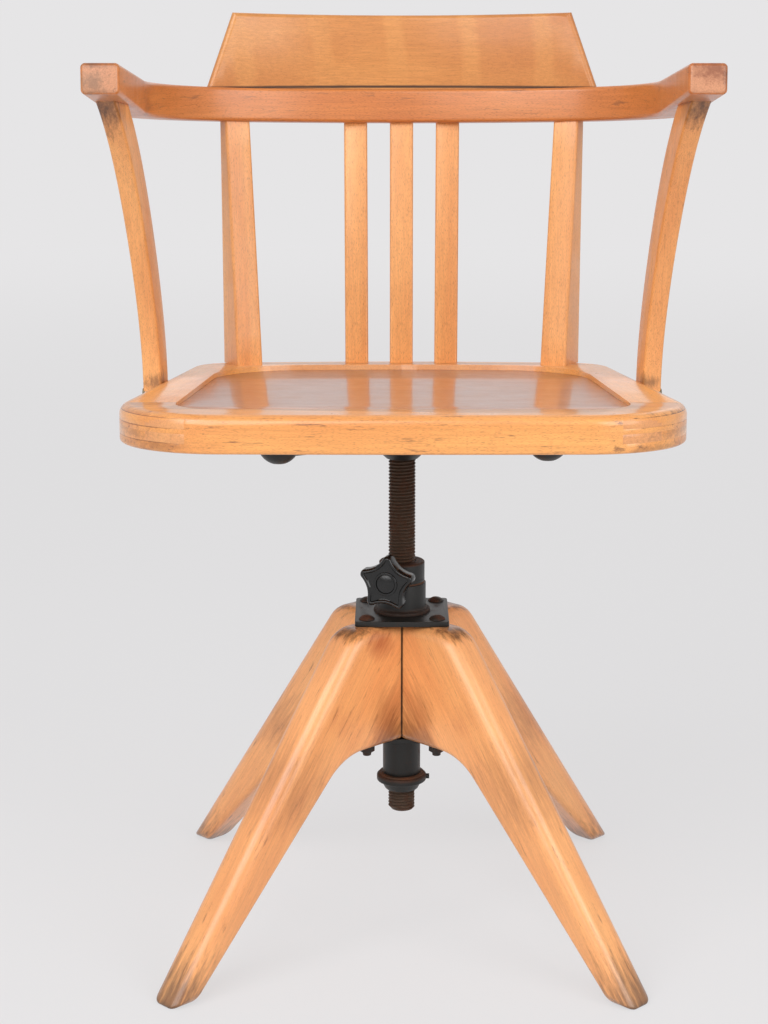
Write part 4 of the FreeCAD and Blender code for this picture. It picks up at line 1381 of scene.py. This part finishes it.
@dataclass
class Seat:
    """The seat frame of four rails, its dished panel, its battens and the iron cross below.

    Attributes:
        seam: How far the edges at a joint are eased.
        axis_y: Where the swivel axis lies from front to back.
        turn: How far a side rail turns away from straight back, in degrees.
        slope: How far the seat slopes back, in degrees.
        underside: The height of its underside at the swivel axis.
        rear_joint: How far back the rear rail starts.
        finger_top: How far the top of the corner fingers lies above the underside.
    """

    seam: float = 0.0004
    axis_y: float = 0.0
    turn: float = 7.3
    slope: float = 2.7
    underside: float = 0.490
    rear_joint: float = 0.180
    finger_top: float = 0.029

    def stains(self, node: str) -> tuple[Stain, ...]:
        """List the worn patches of one rail: the open seam of its corner fingers and the grime round it.

        Args:
            node: The node of the rail.

        Returns:
            The patches.
        """
        dark = linear(60, 34, 19)
        seam = (0.075, 0.0008, 9.0)
        if node == "seat_rail_front":
            return (
                Stain((-0.238, self.finger_top, 0.0), seam, dark, 0.95, 0.25, True),
                Stain((0.238, self.finger_top, 0.0), seam, dark, 0.95, 0.9, True),
                Stain((-0.222, 0.021, 0.0), (0.05, 0.0012, 9.0), dark, 0.8, 0.5, True),
                Stain((-0.222, 0.0085, 0.0), (0.045, 0.0012, 9.0), dark, 0.7, 0.5, True),
                Stain((0.222, 0.0215, 0.0), (0.045, 0.0012, 9.0), dark, 0.8, 0.6, True),
                Stain((0.226, 0.026, 0.0), (0.055, 0.008, 9.0), dark, 0.7, 1.5, True),
                Stain((-0.21, 0.006, 0.0), (0.05, 0.012, 9.0), linear(110, 66, 40), 0.45, 1.0, True),
                Stain((-0.23, 0.026, 0.0), (0.05, 0.01, 9.0), linear(150, 78, 44), 0.6, 1.0, True),
                Stain((0.215, 0.003, 0.0), (0.06, 0.005, 9.0), dark, 0.35, 1.3, True),
            )
        if node == "seat_rail_rear":
            return ()
        return (
            Stain((-0.2, self.finger_top, 0.0), seam, dark, 0.95, 0.4, True),
            Stain((-0.19, 0.024, 0.0), (0.06, 0.009, 9.0), dark, 0.35, 1.4, True),
        )

    def level(self, point: Vector) -> Vector:
        """Take a point to the frame in which the seat lies level on its underside.

        Args:
            point: A point of the seat.

        Returns:
            The same point in that frame.
        """
        slope = math.radians(self.slope)
        back, up = point.y - self.axis_y, point.z - self.underside
        turned = Vector((point.x, back * math.cos(slope) - up * math.sin(slope), 0.0))
        turned.z = back * math.sin(slope) + up * math.cos(slope)
        return turned

    def at_joint(self, centre: Vector, normal: Vector) -> bool:
        """Tell whether a face lies along the joint of the side rails and the rear rail.

        Args:
            centre: The face's centre.
            normal: The face's normal.

        Returns:
            Whether it lies at the joint.
        """
        return abs(self.level(centre).y - self.rear_joint) < 0.0006

    def build(self) -> None:
        """Model and dress the seat."""
        start = Vector((0.0, self.axis_y, self.underside))
        turn, slope = math.radians(self.turn), math.radians(self.slope)
        right, back = Vector((1.0, 0.0, 0.0)), Vector((0.0, 1.0, 0.0))
        up = Vector((0.0, math.sin(slope), math.cos(slope)))
        runs = {
            "seat_rail_front": (right, 1.3),
            "seat_rail_rear": (right, 5.9),
            "seat_rail_left": (Vector((math.sin(turn), math.cos(turn), 0.0)), 8.2),
            "seat_rail_right": (Vector((-math.sin(turn), math.cos(turn), 0.0)), 11.6),
        }
        for node, (along, shift) in runs.items():
            piece = Bench.copy_of(node, f"{node}_wood")
            Bench.soften(piece, self.seam, 2, 45.0)
            Bench.smooth(piece)
            lay_grain(piece, Run(start, along, up), 0.82)
            mark_joints(piece, self.at_joint)
            wood = replace(SEAT_WOOD, stains=self.stains(node), shift=shift, cut_share=0.28)
            wood.dress(piece, f"{node}_beech")
            finish(piece, Body.SEAT, Slot.VARNISHED_BEECH, node)
        panel = Bench.copy_of("seat_panel", "seat_panel_wood")
        Bench.soften(panel, 0.0006, 2, 45.0)
        Bench.smooth(panel, 25.0)
        lay_grain(panel, Run(start, right, up), 2.0)
        mark_joints(panel, lambda c, n: 0.1 < n.z < 0.98)
        PANEL_WOOD.dress(panel, "seat_panel_veneer")
        finish(panel, Body.SEAT, Slot.SEAT_VENEER, "seat_panel")
        for node in ("seat_batten_left", "seat_batten_right"):
            piece = Bench.copy_of(node, f"{node}_wood")
            Bench.soften(piece, 0.001, 2)
            Bench.smooth(piece)
            lay_grain(piece, Run(start, back, up))
            replace(BARE_WOOD, shift=4.0).dress(piece, f"{node}_beech")
            finish(piece, Body.SEAT, Slot.VARNISHED_BEECH, node)
        spider = Bench.copy_of("seat_spider", "seat_spider_iron")
        Bench.soften(spider, 0.0008, 2, 45.0)
        Bench.smooth(spider)
        cast = Iron(rusting=0.25).paint("spider_black_iron")
        finish(spider, Body.SEAT, Slot.BLACK_IRON, "seat_spider", material=cast)
        repaint("spider_screws", Iron(rusting=0.5).paint("spider_screw_steel"))


@dataclass
class BowAndCrest:
    """The bent bow, which is back rail and arms in one, and the crest board on it.

    Attributes:
        axis_y: Where the swivel axis lies from front to back.
        centre_y: Where the back arc has its centre, from the swivel axis.
        radius: The radius of the back arc's middle line.
        turn: Half the angle of the back arc, in degrees.
        bend_radius: The radius of the bends' middle line.
        top: The height of the bow.
    """

    axis_y: float = 0.0
    centre_y: float = -0.224
    radius: float = 0.458
    turn: float = 21.2
    bend_radius: float = 0.137
    top: float = 0.789

    def build(self) -> None:
        """Model and dress the bow and the crest."""
        bow = Bench.copy_of("arm_bow", "arm_bow_wood")
        Bench.soften(bow, 0.0005, 2, 50.0)
        Bench.smooth(bow)
        run = BentRun(self.centre_y + self.axis_y, self.radius, self.turn, self.bend_radius, self.top)
        lay_grain(bow, run, 0.85)
        grey = linear(112, 74, 52)
        low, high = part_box("arm_bow")
        wood = replace(
            BOW_WOOD,
            stains=(
                Stain((-0.25, self.axis_y - 0.12, 0.76), (0.05, 0.09, 0.04), grey, 0.5),
                Stain((0.25, self.axis_y - 0.1, 0.765), (0.05, 0.09, 0.04), grey, 0.5),
                Stain((-0.228, self.axis_y + 0.075, 0.776), (0.03, 0.035, 0.03), linear(128, 74, 46), 0.65),
                Stain((low.x + 0.014, low.y, high.z - 0.017), (0.02, 0.02, 0.017), linear(110, 88, 70), 0.6, 1.0),
                Stain((low.x + 0.016, low.y, high.z), (0.03, 0.02, 0.007), linear(96, 58, 36), 0.7, 0.7),
                Stain((high.x - 0.014, low.y, high.z - 0.004), (0.032, 0.02, 0.017), linear(122, 62, 36), 0.75, 0.8),
                Stain((high.x - 0.002, low.y, high.z - 0.013), (0.008, 0.02, 0.02), linear(96, 52, 30), 0.7, 0.6),
            ),
            shift=2.4,
        )
        wood.dress(bow, "arm_bow_beech")
        finish(bow, Body.SEAT, Slot.VARNISHED_BEECH, "arm_bow")
        crest = Bench.copy_of("crest_board", "crest_board_wood")
        Bench.soften(crest, 0.0006, 2, 45.0)
        Bench.smooth(crest)
        foot = Vector((0.0, self.axis_y, self.top))
        lay_grain(crest, Run(foot, Vector((1.0, 0.0, 0.0)), Vector((0.0, 0.0, 1.0))), 0.75)
        mark_joints(crest, lambda c, n: n.z < -0.25)
        seam = Stain((0.0, self.axis_y, self.top), (9.0, 9.0, 0.0022), linear(48, 28, 16), 0.95, 0.2)
        dark_corner = Stain((0.2, self.axis_y + 0.2, self.top + 0.09), (0.05, 0.1, 0.05), linear(120, 74, 50), 0.5, 0.8)
        replace(CREST_WOOD, stains=(seam, dark_corner)).dress(crest, "crest_board_beech")
        finish(crest, Body.SEAT, Slot.VARNISHED_BEECH, "crest_board")
        repaint("crest_dowels", BARE_WOOD.paint("dowel_beech"))


@dataclass
class Uprights:
    """The two back posts, the three slats and the two curved arm posts.

    Attributes:
        axis_y: Where the swivel axis lies from front to back.
        ease: How far the hard edges are eased.
    """

    axis_y: float = 0.0
    ease: float = 0.0006

    def stains(self, node: str) -> tuple[Stain, ...]:
        """List the worn patches of one upright.

        Args:
            node: The node of the upright.

        Returns:
            The patches.
        """
        dark = linear(74, 46, 30)
        if node == "arm_post_right":
            return (
                Stain((0.28, self.axis_y - 0.11, 0.752), (0.04, 0.08, 0.08), linear(150, 76, 16), 0.8, 0.4),
                Stain((0.282, self.axis_y - 0.11, 0.75), (0.024, 0.08, 0.062), linear(34, 18, 7), 0.97, 0.9),
                Stain((0.262, self.axis_y - 0.1, 0.776), (0.05, 0.06, 0.026), linear(74, 38, 14), 0.85, 0.6),
                Stain((0.232, self.axis_y + 0.04, 0.52), (0.02, 0.03, 0.012), dark, 0.6),
            )
        if node == "arm_post_left":
            return (
                Stain((-0.274, self.axis_y - 0.11, 0.764), (0.045, 0.08, 0.085), linear(140, 70, 16), 0.85, 0.5),
                Stain((-0.276, self.axis_y - 0.11, 0.76), (0.03, 0.08, 0.05), linear(70, 38, 14), 0.75, 0.9),
                Stain((-0.262, self.axis_y - 0.1, 0.776), (0.05, 0.06, 0.022), linear(74, 40, 16), 0.8, 0.6),
                Stain((-0.232, self.axis_y + 0.04, 0.52), (0.02, 0.03, 0.012), dark, 0.6),
            )
        return ()

    def build(self) -> None:
        """Model and dress every upright."""
        nodes = (
            "back_post_left",
            "back_post_right",
            "back_slat_left",
            "back_slat_middle",
            "back_slat_right",
            "arm_post_left",
            "arm_post_right",
        )
        for index, node in enumerate(nodes):
            low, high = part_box(node)
            piece = Bench.copy_of(node, f"{node}_wood")
            Bench.soften(piece, self.ease, 2, 45.0)
            Bench.smooth(piece)
            lean = Vector((0.0, 0.06, 1.0)) if "arm" not in node else Vector((0.0, -0.42, 1.0))
            lay_grain(piece, Run((low + high) / 2.0, lean, Vector((1.0, 0.0, 0.0))), 0.9)
            replace(POST_WOOD, stains=self.stains(node), shift=1.9 * index).dress(piece, f"{node}_beech")
            finish(piece, Body.SEAT, Slot.VARNISHED_BEECH, node)
        repaint("arm_post_screws", Iron(black=linear(96, 84, 66), rusting=0.4, metal=0.8).paint("arm_screw_steel"))


# The studio


@dataclass(frozen=True)
class Lamp:
    """One soft lamp that looks at the middle of the chair.

    Attributes:
        name: The name of the lamp.
        place: Where it hangs.
        size: The length of its sides.
        power: Its power, in watts.
    """

    name: str
    place: Point
    size: float
    power: float

    def hang(self, target: Vector) -> None:
        """Hang the lamp.

        Args:
            target: The point that it looks at.
        """
        light = bpy.data.lights.new(self.name, "AREA")
        light.shape = "SQUARE"
        light.size = self.size
        light.energy = self.power
        lamp = bpy.data.objects.new(self.name, light)
        bpy.context.scene.collection.objects.link(lamp)
        lamp.location = self.place
        lamp.rotation_euler = (target - Vector(self.place)).to_track_quat("-Z", "Y").to_euler()


@dataclass
class Studio:
    """A pale floor, soft lamps and the camera.

    Attributes:
        axis_y: Where the swivel axis lies from front to back.
        distance: How far the camera stands from the swivel axis.
        height: The height of the camera.
        pitch: How far the camera looks down, in degrees.
        azimuth: How far the camera stands round to the left, in degrees.
        aim: How far the camera turns to the left of the axis, in degrees.
        lens: The focal length for a 36 mm sensor, in millimetres.
        floor_radius: The radius of the floor.
        backdrop: The colour of the paper and of the backdrop.
        glow_near: How much of the paper's colour is there without light, below the chair.
        glow_start: How far from the middle the paper starts to pass into the backdrop.
        glow_end: How far out it is one with the backdrop.
        mirrored: How much of the backdrop shows in gloss.
        ambient: The strength of the light from all round.
        lamps: The lamps.
    """

    axis_y: float = 0.0
    distance: float = 1.982
    height: float = 0.851
    pitch: float = 12.76
    azimuth: float = 0.3
    aim: float = 0.49
    lens: float = 75.87
    floor_radius: float = 14.0
    backdrop: Colour = linear(230, 229, 230)
    glow_near: float = 0.76
    glow_start: float = 0.5
    glow_end: float = 6.5
    mirrored: float = 0.65
    ambient: float = 0.4
    lamps: tuple[Lamp, ...] = (
        Lamp("key_lamp", (-1.4, -2.4, 2.35), 2.8, 76.0),
        Lamp("fill_lamp", (1.9, -2.0, 1.7), 2.0, 41.0),
        Lamp("back_lamp", (0.5, 2.7, 2.2), 2.4, 9.0),
        Lamp("window_lamp", (-1.6, -1.2, 2.1), 1.0, 5.5),
    )

    def floor(self) -> None:
        """Model the wide round floor, the far part of which passes into the backdrop."""
        bpy.ops.object.select_all(action="DESELECT")
        bpy.ops.mesh.primitive_circle_add(
            vertices=96, radius=self.floor_radius, fill_type="NGON", location=(0.0, self.axis_y, 0.0)
        )
        floor = Bench.named("studio_floor")
        Bench.settle(floor)
        floor.data.materials.append(self.paper())

    def paper(self) -> bpy.types.Material:
        """Make the floor's pale paper, which keeps the chair's shadow.

        Returns:
            The material.
        """
        material = bpy.data.materials.new("studio_paper")
        material.use_nodes = True
        tree = material.node_tree
        tree.nodes.clear()
        output = tree.nodes.new("ShaderNodeOutputMaterial")
        diffuse = tree.nodes.new("ShaderNodeBsdfDiffuse")
        diffuse.inputs["Color"].default_value = (*self.backdrop, 1.0)
        glow = tree.nodes.new("ShaderNodeEmission")
        glow.inputs["Color"].default_value = (*self.backdrop, 1.0)
        glow.inputs["Strength"].default_value = 1.0
        path = tree.nodes.new("ShaderNodeLightPath")
        seen = tree.nodes.new("ShaderNodeMath")
        seen.operation = "MAXIMUM"
        tree.links.new(path.outputs["Is Camera Ray"], seen.inputs[0])
        tree.links.new(path.outputs["Is Glossy Ray"], seen.inputs[1])
        through = tree.nodes.new("ShaderNodeMath")
        through.operation = "MAXIMUM"
        tree.links.new(seen.outputs[0], through.inputs[0])
        tree.links.new(path.outputs["Is Transmission Ray"], through.inputs[1])
        share = tree.nodes.new("ShaderNodeMath")
        share.operation = "MULTIPLY"
        spot = tree.nodes.new("ShaderNodeTexCoord")
        away = tree.nodes.new("ShaderNodeVectorMath")
        away.operation = "LENGTH"
        fade = tree.nodes.new("ShaderNodeMapRange")
        fade.interpolation_type = "SMOOTHSTEP"
        fade.inputs["From Min"].default_value = self.glow_start
        fade.inputs["From Max"].default_value = self.glow_end
        fade.inputs["To Min"].default_value = self.glow_near
        fade.inputs["To Max"].default_value = 1.0
        tree.links.new(spot.outputs["Object"], away.inputs[0])
        tree.links.new(away.outputs["Value"], fade.inputs["Value"])
        tree.links.new(fade.outputs["Result"], share.inputs[1])
        tree.links.new(through.outputs[0], share.inputs[0])
        blend = tree.nodes.new("ShaderNodeMixShader")
        tree.links.new(share.outputs[0], blend.inputs[0])
        tree.links.new(diffuse.outputs[0], blend.inputs[1])
        tree.links.new(glow.outputs[0], blend.inputs[2])
        tree.links.new(blend.outputs[0], output.inputs["Surface"])
        return material

    def world(self) -> None:
        """Light the chair a little from all round, in front of a pale backdrop."""
        world = bpy.data.worlds.new("studio_world")
        bpy.context.scene.world = world
        world.use_nodes = True
        tree = world.node_tree
        tree.nodes.clear()
        output = tree.nodes.new("ShaderNodeOutputWorld")
        path = tree.nodes.new("ShaderNodeLightPath")
        mirrored = tree.nodes.new("ShaderNodeMath")
        mirrored.operation = "MULTIPLY"
        mirrored.inputs[1].default_value = self.mirrored
        tree.links.new(path.outputs["Is Glossy Ray"], mirrored.inputs[0])
        seen = tree.nodes.new("ShaderNodeMath")
        seen.operation = "MAXIMUM"
        tree.links.new(path.outputs["Is Camera Ray"], seen.inputs[0])
        tree.links.new(mirrored.outputs[0], seen.inputs[1])
        shown = tree.nodes.new("ShaderNodeBackground")
        shown.inputs["Color"].default_value = (*self.backdrop, 1.0)
        shown.inputs["Strength"].default_value = 1.0
        ambient = tree.nodes.new("ShaderNodeBackground")
        ambient.inputs["Color"].default_value = (1.0, 1.0, 1.0, 1.0)
        ambient.inputs["Strength"].default_value = self.ambient
        blend = tree.nodes.new("ShaderNodeMixShader")
        tree.links.new(seen.outputs[0], blend.inputs[0])
        tree.links.new(ambient.outputs[0], blend.inputs[1])
        tree.links.new(shown.outputs[0], blend.inputs[2])
        tree.links.new(blend.outputs[0], output.inputs["Surface"])

    def camera(self) -> None:
        """Set the camera up at the photograph's viewing angle."""
        data = bpy.data.cameras.new("photo_camera")
        data.sensor_width = 36.0
        data.sensor_fit = "AUTO"
        data.lens = self.lens
        camera = bpy.data.objects.new("photo_camera", data)
        bpy.context.scene.collection.objects.link(camera)
        angle = math.radians(self.azimuth)
        camera.location = (
            -self.distance * math.sin(angle),
            self.axis_y - self.distance * math.cos(angle),
            self.height,
        )
        camera.rotation_euler = (math.radians(90.0 - self.pitch), 0.0, math.radians(self.aim - self.azimuth))
        bpy.context.scene.camera = camera

    def build(self) -> None:
        """Set up the whole studio."""
        self.floor()
        self.world()
        for lamp in self.lamps:
            lamp.hang(Vector((0.0, self.axis_y, 0.5)))
        self.camera()
        bpy.context.scene.view_settings.view_transform = "Standard"
        log.info("the studio is lit")


def main() -> None:
    """Build the studio, then the chair piece by piece."""
    logging.basicConfig(level=logging.INFO, format="%(name)s: %(message)s")
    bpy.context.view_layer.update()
    axis_y = next(joint["pos_m"][1] for joint in frame["joints"] if joint["name"] == "seat_swivel")
    for assembly in (
        Studio(axis_y=axis_y),
        Legs(axis_y=axis_y),
        Hub(axis_y=axis_y),
        LiftScrew(axis_y=axis_y),
        HeightClamp(axis_y=axis_y),
        Seat(axis_y=axis_y),
        BowAndCrest(axis_y=axis_y),
        Uprights(axis_y=axis_y),
    ):
        assembly.build()
        log.info("%s is done", type(assembly).__name__)
    bpy.context.view_layer.update()


if __name__ == "__main__":
    main()
